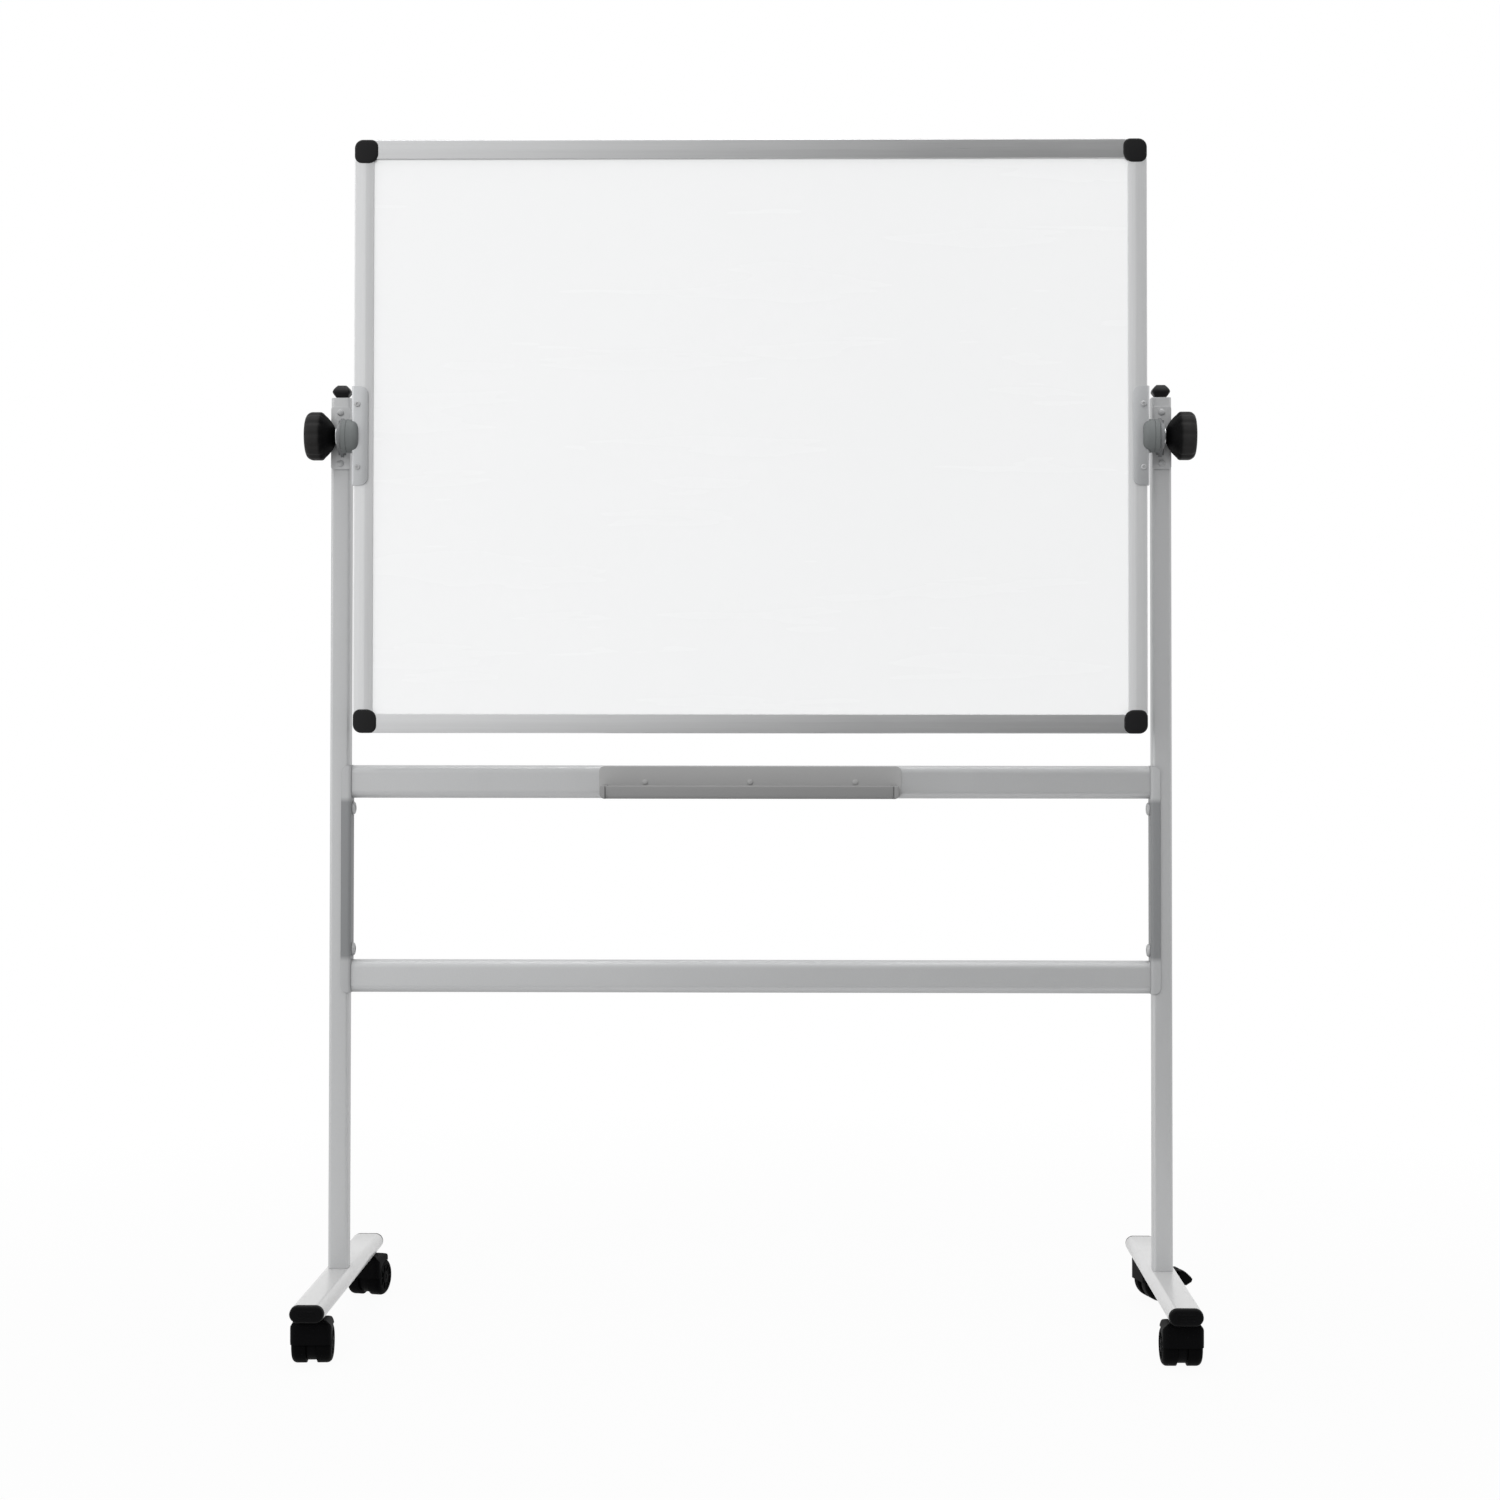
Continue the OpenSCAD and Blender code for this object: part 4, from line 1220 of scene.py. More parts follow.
@dataclass
class Board:
    """The flipping board: sheets, frame and corner caps.

    Attributes:
        face: Face width of the frame.
        depth: Depth of the frame.
        flat: Width of its flat outer band.
        fall: How far its inner band falls towards the sheet.
        groove: Depth, front to back, of the groove that holds the panel.
        groove_floor: Distance of the groove's floor from the outer edge.
        blend: Rounding between the two bands.
        edge: Rounding of the outer edges.
        cap_depth: Depth of the corner caps.
        cap_size: Side of the corner caps.
        cap_outer: Rounding of the caps' outer corner.
        cap_inner: Rounding of the corner that points at the sheet.
        cap_small: Rounding of the other two corners.
        cap_edge: Rounding of the caps' rims.
    """

    bench: Bench
    face: float = 0.029
    depth: float = 0.020
    flat: float = 0.017
    fall: float = 0.0013
    groove: float = 0.0111
    groove_floor: float = 0.012
    blend: float = 0.02
    edge: float = 0.002
    cap_depth: float = 0.024
    cap_size: float = 0.036
    cap_outer: float = 0.013
    cap_inner: float = 0.016
    cap_small: float = 0.011
    cap_edge: float = 0.003

    def section(self) -> list[Point]:
        """Section of the frame, x running inwards from its outer edge and y front to back."""
        y, g = self.depth / 2, self.groove / 2
        half = [
            (0.0, -y, self.edge),
            (self.flat, -y, self.blend),
            (self.face, -y + self.fall, 0.0008),
            (self.face, -g, 0.0004),
            (self.groove_floor, -g, 0.0),
        ]
        return rounded(half + [(x, -v, r) for x, v, r in reversed(half)])

    def bar(self, node: str, inwards: Vector, finish: Finish) -> None:
        """Builds one bar of the frame.

        Args:
            node: CAD node that it replaces.
            inwards: Direction from its outer edge towards the sheet.
            finish: Finish of the bar.
        """
        low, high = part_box(node)
        along = inwards.cross(Vector((0, 1, 0)))
        middle = (low + high) / 2
        reach = abs((high - low).dot(along))
        width = abs((high - low).dot(inwards))
        start = middle - inwards * width / 2 - along * reach / 2
        form = Form().prism(self.section(), place(start, inwards, (0, 1, 0)), reach, 0.0)
        self.bench.piece(f"{node}_bar", form, finish, "board", [node])

    def corner_cap(self) -> Form:
        """Corner cap with its outer corner at the origin, local X and Z running inwards."""
        size = self.cap_size
        outline = rounded(
            [
                (0.0, 0.0, self.cap_outer),
                (size, 0.0, self.cap_small),
                (size, size, self.cap_inner),
                (0.0, size, self.cap_small),
            ],
            8,
        )
        front = place((0, self.cap_depth / 2, 0), (1, 0, 0), (0, 0, 1))
        form = Form().prism(outline, front, self.cap_depth, self.cap_edge)
        slot_start = (self.groove_floor, self.groove / 2, self.groove_floor)
        corners = [(0.0, 0.0), (size, 0.0), (size, size), (0.0, size)]
        slot = Form().prism(corners, place(slot_start, (1, 0, 0), (0, 0, 1)), self.groove, 0.0)
        return form.carve(slot)

    def build(self) -> None:
        """Builds and dresses the board."""
        bench, looks = self.bench, Finishes
        bench.dress(looks.core, "board_core")
        bench.dress(looks.sheet, "front_sheet", "rear_sheet")
        self.bar("frame_top", Vector((0, 0, -1)), looks.frame_x)
        self.bar("frame_bottom", Vector((0, 0, 1)), looks.frame_x)
        self.bar("frame_left", Vector((1, 0, 0)), looks.frame_z)
        self.bar("frame_right", Vector((-1, 0, 0)), looks.frame_z)
        low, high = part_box("corner_caps")
        y = (low.y + high.y) / 2
        corners = [(low.x, low.z), (low.x, high.z), (high.x, high.z), (high.x, low.z)]
        places = []
        for quarter, (x, z) in enumerate(corners):
            places.append(Matrix.Translation((x, y, z)) @ Matrix.Rotation(quarter * TURN / 4, 4, "Y"))
        caps = bench.repeater.copies(self.corner_cap(), places, looks.corner)
        bench.piece("corner_guards", caps, looks.corner, "board", ["corner_caps"])


@dataclass
class Pivot:
    """What carries the board between the uprights: brackets, hubs, ears and clamp knobs.

    Attributes:
        sheet: Sheet thickness of the brackets.
        bend: Bend radius of the brackets, at the middle of the sheet.
        bracket_corner: Rounding of the brackets' flanges.
        hub_edge: Rounding of the hubs' outer rims.
        hub_nose: Rounding of the rims that straddle the brackets.
        hub_short: How far those rims stay behind the ends of the solids.
        hub_line: Depth of the parting line round the hubs.
        screw_head: Radius and height of the bracket screws' heads.
        ear_bolt_head: Radius and height of the ear bolts' heads.
        ear_plate: Thickness of the ears.
        ear_round: Radius of the ears round the stud.
        ear_root: Height of the ears where they leave their base plates.
        base_plate: Thickness of the base plates.
        base_corner: Rounding of the base plates.
        weld: Size of the weld bead between ear and plate.
        neck: Radius and length of the knobs' necks.
        rim: Length of the knobs' rims.
        crown: Rounding of the knobs' outer edge.
        shoulder: Rounding of the knobs' inner edge.
        flutes: Number of flutes round a knob.
        flute_depth: Depth of the flutes.
    """

    bench: Bench
    sheet: float = 0.003
    bend: float = 0.0025
    bracket_corner: float = 0.012
    hub_edge: float = 0.0025
    hub_nose: float = 0.009
    hub_short: float = 0.004
    hub_line: float = 0.0008
    screw_head: Point = (0.0045, 0.0025)
    ear_bolt_head: Point = (0.00525, 0.0033)
    ear_plate: float = 0.005
    ear_round: float = 0.020
    ear_root: float = 0.060
    base_plate: float = 0.003
    base_corner: float = 0.004
    weld: float = 0.0035
    neck: Point = (0.0105, 0.0016)
    rim: float = 0.027
    crown: float = 0.0105
    shoulder: float = 0.005
    flutes: int = 12
    flute_depth: float = 0.0017

    @property
    def axis(self) -> Vector:
        """A point on the pivot axis, midway between the sides."""
        low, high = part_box("pivot_studs")
        return (low + high) / 2

    def outwards(self, side: Side, x: float) -> Matrix:
        """Frame on the pivot axis, its Z running outwards and its Y up."""
        origin = (side.value * x, self.axis.y, self.axis.z)
        return place(origin, (0, side.value, 0), (0, 0, 1))

    def bracket(self, side: Side) -> None:
        """Builds the bracket of a side."""
        node = f"{side.word}_pivot_bracket"
        low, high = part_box(node)
        half = self.sheet / 2
        depth = (high.y - low.y) / 2 - half
        reach = high.x - low.x
        sheet = FoldedSheet(
            (
                (0.0, -depth, 0.0),
                (reach - half, -depth, self.bend),
                (reach - half, depth, self.bend),
                (0.0, depth, 0.0),
            ),
            self.sheet,
            high.z - low.z,
            self.bracket_corner,
        )
        inner = low.x if side is Side.RIGHT else high.x
        frame = place((inner, self.axis.y, self.axis.z), (side.value, 0, 0), (0, 1, 0))
        form = Form().folded(sheet, frame)
        self.bench.piece(f"{side.word}_pivot_plate", form, Finishes.bracket, "board", [node])

    def hub(self, side: Side) -> Form:
        """Drum of a side, slotted to straddle its bracket."""
        low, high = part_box("pivot_hubs")
        bracket_low, bracket_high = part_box("right_pivot_bracket")
        radius = (high.z - low.z) / 2
        lap = bracket_high.x - self.hub_lap_x
        length = high.x - self.hub_lap_x
        split = lap + (length - lap) / 2
        profile = [(0.0, 0.0)]
        profile += arc((radius - self.hub_nose, self.hub_nose), self.hub_nose, -90, 0)
        profile += [
            (radius, split - self.hub_line),
            (radius - self.hub_line, split),
            (radius, split + self.hub_line),
        ]
        profile += arc((radius - self.hub_edge, length - self.hub_edge), self.hub_edge, 0, 90)
        profile += [(0.0, length)]
        frame = self.outwards(side, self.hub_lap_x)
        drum = Form().lathe(profile, frame, 72)
        gap = (bracket_high.y - bracket_low.y) / 2
        corners = [(-gap, -2 * radius), (gap, -2 * radius), (gap, 2 * radius), (-gap, 2 * radius)]
        slot = Form().prism(corners, frame @ Matrix.Translation((0, 0, -lap)), 2 * lap, 0.0)
        return drum.carve(slot)

    @property
    def hub_lap_x(self) -> float:
        """Distance of the hubs' inner rims from the middle of the board."""
        xs = [abs(v.co.x) for v in self.bench.nodes["pivot_hubs"].data.vertices]
        return min(xs) + self.hub_short

    def bracket_screws(self) -> None:
        """Builds the heads of the bracket screws."""
        low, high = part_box("bracket_screws")
        plate_low, plate_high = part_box("right_pivot_bracket")
        radius, height = self.screw_head
        x = high.x - radius
        rise = (high.z - low.z) / 2 - radius
        places = []
        for side in Side:
            for y, facing in ((plate_low.y, -1), (plate_high.y, 1)):
                for z in (self.axis.z - rise, self.axis.z + rise):
                    places.append(place((side.value * x, y, z), (-facing, 0, 0), (0, 0, 1)))
        heads = self.bench.repeater.copies(
            button_head(radius, height, 0.5 * radius), places, Finishes.painted_bolt, TURN / 6
        )
        self.bench.piece("bracket_screw_heads", heads, Finishes.painted_bolt, "board", ["bracket_screws"])

    def ear(self, side: Side) -> None:
        """Builds the ear of a side on its base plate."""
        node = f"{side.word}_pivot_ear"
        low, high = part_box(node)
        centre = self.axis
        root = high.y - self.base_plate - centre.y
        inner = self.bench.nodes["friction_washers"].data.vertices
        start = max(abs(v.co.x) for v in inner)
        middle_x = (low.x + high.x) / 2
        swing = math.degrees(math.asin(min(1.0, (self.ear_root / 2 - self.ear_round) / root)))
        outline = arc((0.0, 0.0), self.ear_round, 90 - swing / 2, 270 + swing / 2, 28)
        outline += [(root + 0.0005, -self.ear_root / 2), (root + 0.0005, self.ear_root / 2)]
        across = place((side.value * start, centre.y, centre.z), (0, 1, 0), (0, 0, 1))
        if side is Side.LEFT:
            across = across @ Matrix.Translation((0, 0, -self.ear_plate))
        form = Form().prism(outline, across, self.ear_plate, 0.0006)
        face = block(high.x - low.x, high.z - low.z, self.base_corner)
        plate = place((middle_x, high.y, (low.z + high.z) / 2), (1, 0, 0), (0, 0, 1))
        base = Form().prism(face, plate, self.base_plate, 0.0005)
        bead = [(0.0, 0.0), (self.weld, 0.0)]
        bead += [(self.weld * x, self.weld * y) for x, y in ((0.55, 0.3), (0.3, 0.55))] + [(0.0, self.weld)]
        foot = Vector((side.value * start, high.y - self.base_plate, centre.z))
        for x, facing in ((0.0, -1), (self.ear_plate, 1)):
            corner = foot + Vector((side.value * x, 0, -self.ear_root / 2 + self.weld))
            frame = place(corner, (side.value * facing, 0, 0), (0, -1, 0))
            length = self.ear_root - 2 * self.weld
            if frame.col[2].z < 0:
                frame = frame @ Matrix.Translation((0, 0, -length))
            form.prism(bead, frame, length, 0.0003)
        self.bench.piece(f"{side.word}_ear_plate", form, Finishes.ear, "stand", [node])
        self.bench.piece(f"{side.word}_ear_base", base, Finishes.stand, "stand")

    def ear_bolts(self) -> None:
        """Builds the heads of the ear bolts."""
        low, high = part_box("ear_bolts")
        radius, height = self.ear_bolt_head
        plate_low, plate_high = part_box("right_pivot_ear")
        x = (plate_low.x + plate_high.x) / 2
        y = plate_high.y - self.base_plate
        zs = (low.z + radius, high.z - radius)
        places = [place((side.value * x, y, z), (1, 0, 0), (0, 0, 1)) for side in Side for z in zs]
        heads = self.bench.repeater.copies(
            dome_head(radius, height), places, Finishes.painted_bolt, TURN / 6
        )
        self.bench.piece("ear_bolt_heads", heads, Finishes.painted_bolt, "stand", ["ear_bolts"])

    def knob(self, side: Side) -> None:
        """Builds the clamp knob of a side."""
        node = f"{side.word}_knob"
        low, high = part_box(node)
        start, end = sorted((abs(low.x), abs(high.x)))
        radius = (high.z - low.z) / 2
        length = end - start
        neck_radius, neck_length = self.neck
        rim_start = length - self.rim
        dish = radius - self.crown - 0.002
        profile = [(0.0, 0.0), (neck_radius - 0.0008, 0.0)]
        profile += [(neck_radius, 0.0008), (neck_radius, neck_length)]
        flare = arc((radius - self.shoulder, rim_start + self.shoulder), self.shoulder, -62, 0)
        first, last = Vector(profile[-1]), Vector(flare[0])
        bow = Vector((0.0, -0.0024))
        for k in range(1, 10):
            share = k / 10
            profile.append(tuple(first.lerp(last, share) + bow * math.sin(math.pi * share)))
        profile += flare
        crown = arc((radius - self.crown, length - self.crown), self.crown, 0, 90, 12)
        steps = 10
        for k in range(1, steps):
            profile.append((radius, flare[-1][1] + (crown[0][1] - flare[-1][1]) * k / steps))
        profile += crown
        profile += [(dish, length), (dish - 0.0012, length - 0.0009), (dish - 0.004, length - 0.0012)]
        profile += [(0.45 * dish, length - 0.0012), (0.42 * dish, length - 0.0004), (0.0, length)]
        turned = Form().lathe(profile, Matrix(), 144)
        fluted = self.bench.fluter.press(
            turned, self.flutes, self.flute_depth, radius, 2 * self.crown / 3, Finishes.knob
        )
        fluted.transform(self.outwards(side, start))
        self.bench.piece(f"{side.word}_clamp_knob", fluted, Finishes.knob, node, [node])

    def build(self) -> None:
        """Builds and dresses the pivot."""
        bench = self.bench
        drums = Form()
        for side in Side:
            self.bracket(side)
            drums.join(self.hub(side))
            self.ear(side)
            self.knob(side)
            bench.dress(Finishes.brass, f"{side.word}_knob_insert")
            bench.dress(Finishes.zinc, f"{side.word}_clamp_washer")
        bench.piece("pivot_drums", drums, Finishes.hub, "board", ["pivot_hubs"])
        self.bracket_screws()
        self.ear_bolts()
        bench.dress(Finishes.nylon, "friction_washers")
        bench.dress(Finishes.zinc, "pivot_studs")


@dataclass
class Stand:
    """The stand: uprights, feet, crossbars, side channels and their caps and bolts.

    Attributes:
        upright_corner: Corner radius of the uprights.
        cap_inset: How far the upright caps lie inside the uprights' outsides.
        cap_waist: Taper of their lower edges, inwards and upwards.
        cap_dome: Taper of their tops, inwards and downwards.
        cap_gap: How far the foot end caps lie under the tubes' outsides.
        cap_taper: Slope of the foot end caps.
        foot_cap_edge: Rounding of the foot end caps.
        ridge: Radius of the ridges on the foot end caps.
        channel_sheet: Sheet thickness of the side channels.
        channel_bend: Bend radius of the channels, at the middle of the sheet.
        channel_corner: Rounding of the channels' flanges.
        bolt_head: Radius and height of the channel bolts' heads.
        foot_bolt_head: Radius and height of the foot bolts' heads.
    """

    bench: Bench
    upright_corner: float = 0.005
    cap_inset: float = 0.0012
    cap_waist: Point = (0.0062, 0.009)
    cap_dome: Point = (0.0072, 0.010)
    cap_gap: float = 0.0
    cap_taper: float = 0.08
    foot_cap_edge: float = 0.0045
    ridge: float = 0.0011
    channel_sheet: float = 0.003
    channel_bend: float = 0.0032
    channel_corner: float = 0.010
    bolt_head: Point = (0.010, 0.005)
    foot_bolt_head: Point = (0.0085, 0.006)

    def upright(self, side: Side) -> None:
        """Builds the upright of a side."""
        node = f"{side.word}_upright"
        low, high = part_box(node)
        outline = block(high.x - low.x, high.y - low.y, self.upright_corner, 8)
        frame = place(((low.x + high.x) / 2, (low.y + high.y) / 2, low.z), (1, 0, 0), (0, 1, 0))
        form = Form().prism(outline, frame, high.z - low.z, 0.0006)
        self.bench.piece(f"{side.word}_post", form, Finishes.stand, "stand", [node])

    def upright_caps(self) -> None:
        """Builds the domed caps on the uprights."""
        form = Form()
        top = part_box("upright_caps")[1].z
        for side in Side:
            low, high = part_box(f"{side.word}_upright")
            width = high.x - low.x
            outline = block(width, width, self.upright_corner, 8)
            height = top - high.z
            waist, dome = self.cap_waist, self.cap_dome
            levels = []
            steps = 8
            for k in range(steps + 1):
                share = k / steps
                levels.append((self.cap_inset + waist[0] * (1 - share) ** 1.3, waist[1] * share))
            for k in range(1, steps + 1):
                share = k / steps
                z = height - 0.0004 - dome[1] * (1 - share)
                levels.append((self.cap_inset + dome[0] * share**1.6, z))
            levels.append((0.45 * width, height))
            rings = []
            for inset, z in levels:
                share = 1 - 2 * inset / width
                rings.append([(x * share, y * share, z) for x, y in outline])
            form.skin(rings, Matrix.Translation(((low.x + high.x) / 2, (low.y + high.y) / 2, high.z)))
        self.bench.piece("post_caps", form, Finishes.cap, "stand", ["upright_caps"])

    def foot(self, side: Side) -> None:
        """Builds the foot of a side."""
        node = f"{side.word}_foot"
        low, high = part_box(node)
        height = high.z - low.z
        outline = block(high.x - low.x, height, height / 2, 14)
        frame = place(((low.x + high.x) / 2, high.y, (low.z + high.z) / 2), (1, 0, 0), (0, 0, 1))
        form = Form().prism(outline, frame, high.y - low.y, 0.0006)
        self.bench.piece(f"{side.word}_foot_tube", form, Finishes.foot, "stand", [node])

    def foot_caps(self) -> None:
        """Builds the end caps of the feet, ridged across their faces."""
        form = Form()
        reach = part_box("foot_end_caps")[1].y
        for side in Side:
            low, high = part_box(f"{side.word}_foot")
            width, height = high.x - low.x, high.z - low.z
            length = reach - high.y
            edge = self.foot_cap_edge
            outline = block(width, height, height / 2, 14)
            levels = [(self.cap_gap, 0.0)]
            taper = self.cap_gap + (length - edge) * self.cap_taper
            for k in range(9):
                angle = math.pi / 2 * k / 8
                levels.append((taper + edge * (1 - math.cos(angle)), length - edge * (1 - math.sin(angle))))
            rings = [[(x, y, z) for x, y in offset(outline, inset)] for inset, z in levels]
            centre = Vector(((low.x + high.x) / 2, 0, (low.z + high.z) / 2))
            for facing in (-1, 1):
                start = centre + Vector((0, facing * high.y, 0))
                frame = place(start, (-facing, 0, 0), (0, 0, 1))
                form.skin(rings, frame)
                row = self.bench.ribs.ribs(3, 0.0042, 0.5 * width, self.ridge, Finishes.foot_cap)
                form.add(row, frame @ Matrix.Translation((0, 0, length - 0.3 * self.ridge)))
        self.bench.piece("foot_tips", form, Finishes.foot_cap, "stand", ["foot_end_caps"])

    def crossbar(self, level: str) -> None:
        """Builds the upper or the lower crossbar."""
        node = f"{level}_crossbar"
        low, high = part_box(node)
        depth = high.y - low.y
        outline = block(high.z - low.z, depth, depth / 2, 14)
        frame = place((low.x, (low.y + high.y) / 2, (low.z + high.z) / 2), (0, 0, -1), (0, 1, 0))
        form = Form().prism(outline, frame, high.x - low.x, 0.0005)
        self.bench.piece(f"{level}_cross_tube", form, Finishes.stand, "stand", [node])

    def channel(self, side: Side) -> None:
        """Builds the channel that joins the crossbars to the upright of a side."""
        node = f"{side.word}_side_channel"
        low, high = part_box(node)
        half = self.channel_sheet / 2
        depth = (high.y - low.y) / 2 - half
        reach = high.x - low.x
        sheet = FoldedSheet(
            (
                (0.0, -depth, 0.0),
                (reach - half, -depth, self.channel_bend),
                (reach - half, depth, self.channel_bend),
                (0.0, depth, 0.0),
            ),
            self.channel_sheet,
            high.z - low.z,
            self.channel_corner,
        )
        outer = high.x if side is Side.RIGHT else low.x
        frame = place((outer, 0, (low.z + high.z) / 2), (-side.value, 0, 0), (0, 1, 0))
        form = Form().folded(sheet, frame)
        self.bench.piece(f"{side.word}_side_plate", form, Finishes.channel, "stand", [node])

    def bolts(self) -> None:
        """Builds the heads of the channel bolts and of the foot bolts."""
        radius, height = self.bolt_head
        low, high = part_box("channel_bolts")
        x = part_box("right_side_channel")[0].x
        y = (low.y + high.y) / 2
        places = []
        for side in Side:
            for z in (low.z + radius, high.z - radius):
                places.append(place((side.value * x, y, z), (0, -side.value, 0), (0, 0, 1)))
        heads = self.bench.repeater.copies(
            button_head(radius, height, 0.46 * radius), places, Finishes.painted_bolt, TURN / 6
        )
        self.bench.piece("channel_bolt_heads", heads, Finishes.painted_bolt, "stand", ["channel_bolts"])
        radius, height = self.foot_bolt_head
        places = []
        for side in Side:
            foot_low, foot_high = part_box(f"{side.word}_foot")
            places.append(place(((foot_low.x + foot_high.x) / 2, 0, foot_low.z), (1, 0, 0), (0, -1, 0)))
        heads = self.bench.repeater.copies(
            button_head(radius, height, 0.46 * radius), places, Finishes.zinc, TURN / 6
        )
        self.bench.piece("foot_bolt_heads", heads, Finishes.zinc, "stand", ["foot_bolts"])

    def build(self) -> None:
        """Builds and dresses the stand."""
        for side in Side:
            self.upright(side)
            self.foot(side)
            self.channel(side)
        self.upright_caps()
        self.foot_caps()
        for level in ("upper", "lower"):
            self.crossbar(level)
        self.bolts()
        self.bench.dress(Finishes.zinc, "base_inserts", "rivet_nuts", "caster_stems", "stem_sockets")


@dataclass
class PenTray:
    """The folded pen tray with its end caps and screws.

    Attributes:
        sheet: Sheet thickness.
        corner: Rounding of the back plate's corners.
        bend: Radius of the front bend.
        back_bend: Radius of the bend under the back.
        fold: Height of the trough's own strip on the back plate.
        lip: Height of the front lip.
        lean: How far the lip leans forwards.
        hem: Radius of the rolled hem of the lip.
        end: Length of the end caps along the trough.
        end_corner: Rounding of the end caps' lower corners, seen from the front.
        end_edge: Rounding of the end caps' front and back.
        screw_head: Radius and height of the screws' heads.
    """

    bench: Bench
    sheet: float = 0.0015
    corner: float = 0.008
    bend: float = 0.006
    back_bend: float = 0.002
    fold: float = 0.008
    lip: float = 0.020
    lean: float = 0.002
    hem: float = 0.0014
    end: float = 0.009
    end_corner: float = 0.007
    end_edge: float = 0.0016
    screw_head: Point = (0.0045, 0.0025)

    def build(self) -> None:
        """Builds and dresses the tray."""
        low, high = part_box("pen_tray")
        half = self.sheet / 2
        front, back = low.y + half, high.y - half
        floor = low.z + half
        lip_top = low.z + self.lip - half
        bends = (
            (back, floor + self.fold, 0.0),
            (back, floor, self.back_bend),
            (front + self.lean, floor, self.bend),
            (front, lip_top, self.hem),
            (front + 4 * self.hem, lip_top, self.hem),
            (front + 4 * self.hem, lip_top - 2.2 * self.hem, 0.0),
        )
        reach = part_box("tray_end_caps")[1].x
        middle = (low.x + high.x) / 2
        trough = FoldedSheet(bends, self.sheet, 2 * (reach - self.end + self.sheet))
        form = Form().folded(trough, place((middle, 0, 0), (0, 1, 0), (0, 0, 1)))
        plate = block(high.x - low.x, high.z - low.z, self.corner, 8)
        behind = place((middle, high.y, (low.z + high.z) / 2), (1, 0, 0), (0, 0, 1))
        # The trough with its lip takes the darker copy of the tray paint and the back plate the paler one:
        # painted shade and painted light on one sheet.
        self.bench.piece("folded_tray", form, Finishes.tray, "stand", ["pen_tray"])
        backing = Form().prism(plate, behind, self.sheet)
        self.bench.piece("tray_backing", backing, Finishes.tray_back, "stand")
        self.end_caps(low, high, reach)
        self.screws(low, high)

    def end_caps(self, low: Vector, high: Vector, reach: float) -> None:
        """Builds the end caps.

        Args:
            low: Lowest corner of the tray.
            high: Highest corner of the tray.
            reach: Distance of the caps' outsides from the middle.
        """
        depth = high.y - self.sheet - low.y
        form = Form()
        for side in Side:
            inner, outer = side.value * (reach - self.end), side.value * reach
            corners = [
                (inner, low.z, 0.0005),
                (outer, low.z, self.end_corner),
                (outer, low.z + self.lip, 0.002),
                (inner, low.z + self.lip, 0.0005),
            ]
            outline = rounded(corners if side is Side.RIGHT else corners[::-1])
            frame = place((0, high.y - self.sheet, 0), (1, 0, 0), (0, 0, 1))
            form.prism(outline, frame, depth, self.end_edge)
        self.bench.piece("tray_ends", form, Finishes.tray_cap, "stand", ["tray_end_caps"])

    def screws(self, low: Vector, high: Vector) -> None:
        """Builds the heads of the screws in the tray's back.

        Args:
            low: Lowest corner of the tray; not used.
            high: Highest corner of the tray.
        """
        radius, height = self.screw_head
        screw_low, screw_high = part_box("tray_screws")
        z = (screw_low.z + screw_high.z) / 2
        y = high.y - self.sheet
        reach = screw_high.x - radius
        places = [place((x, y, z), (1, 0, 0), (0, 0, 1)) for x in (-reach, 0.0, reach)]
        heads = self.bench.repeater.copies(
            dome_head(radius, height), places, Finishes.tray_bolt, TURN / 6
        )
        self.bench.piece("tray_screw_heads", heads, Finishes.tray_bolt, "stand", ["tray_screws"])


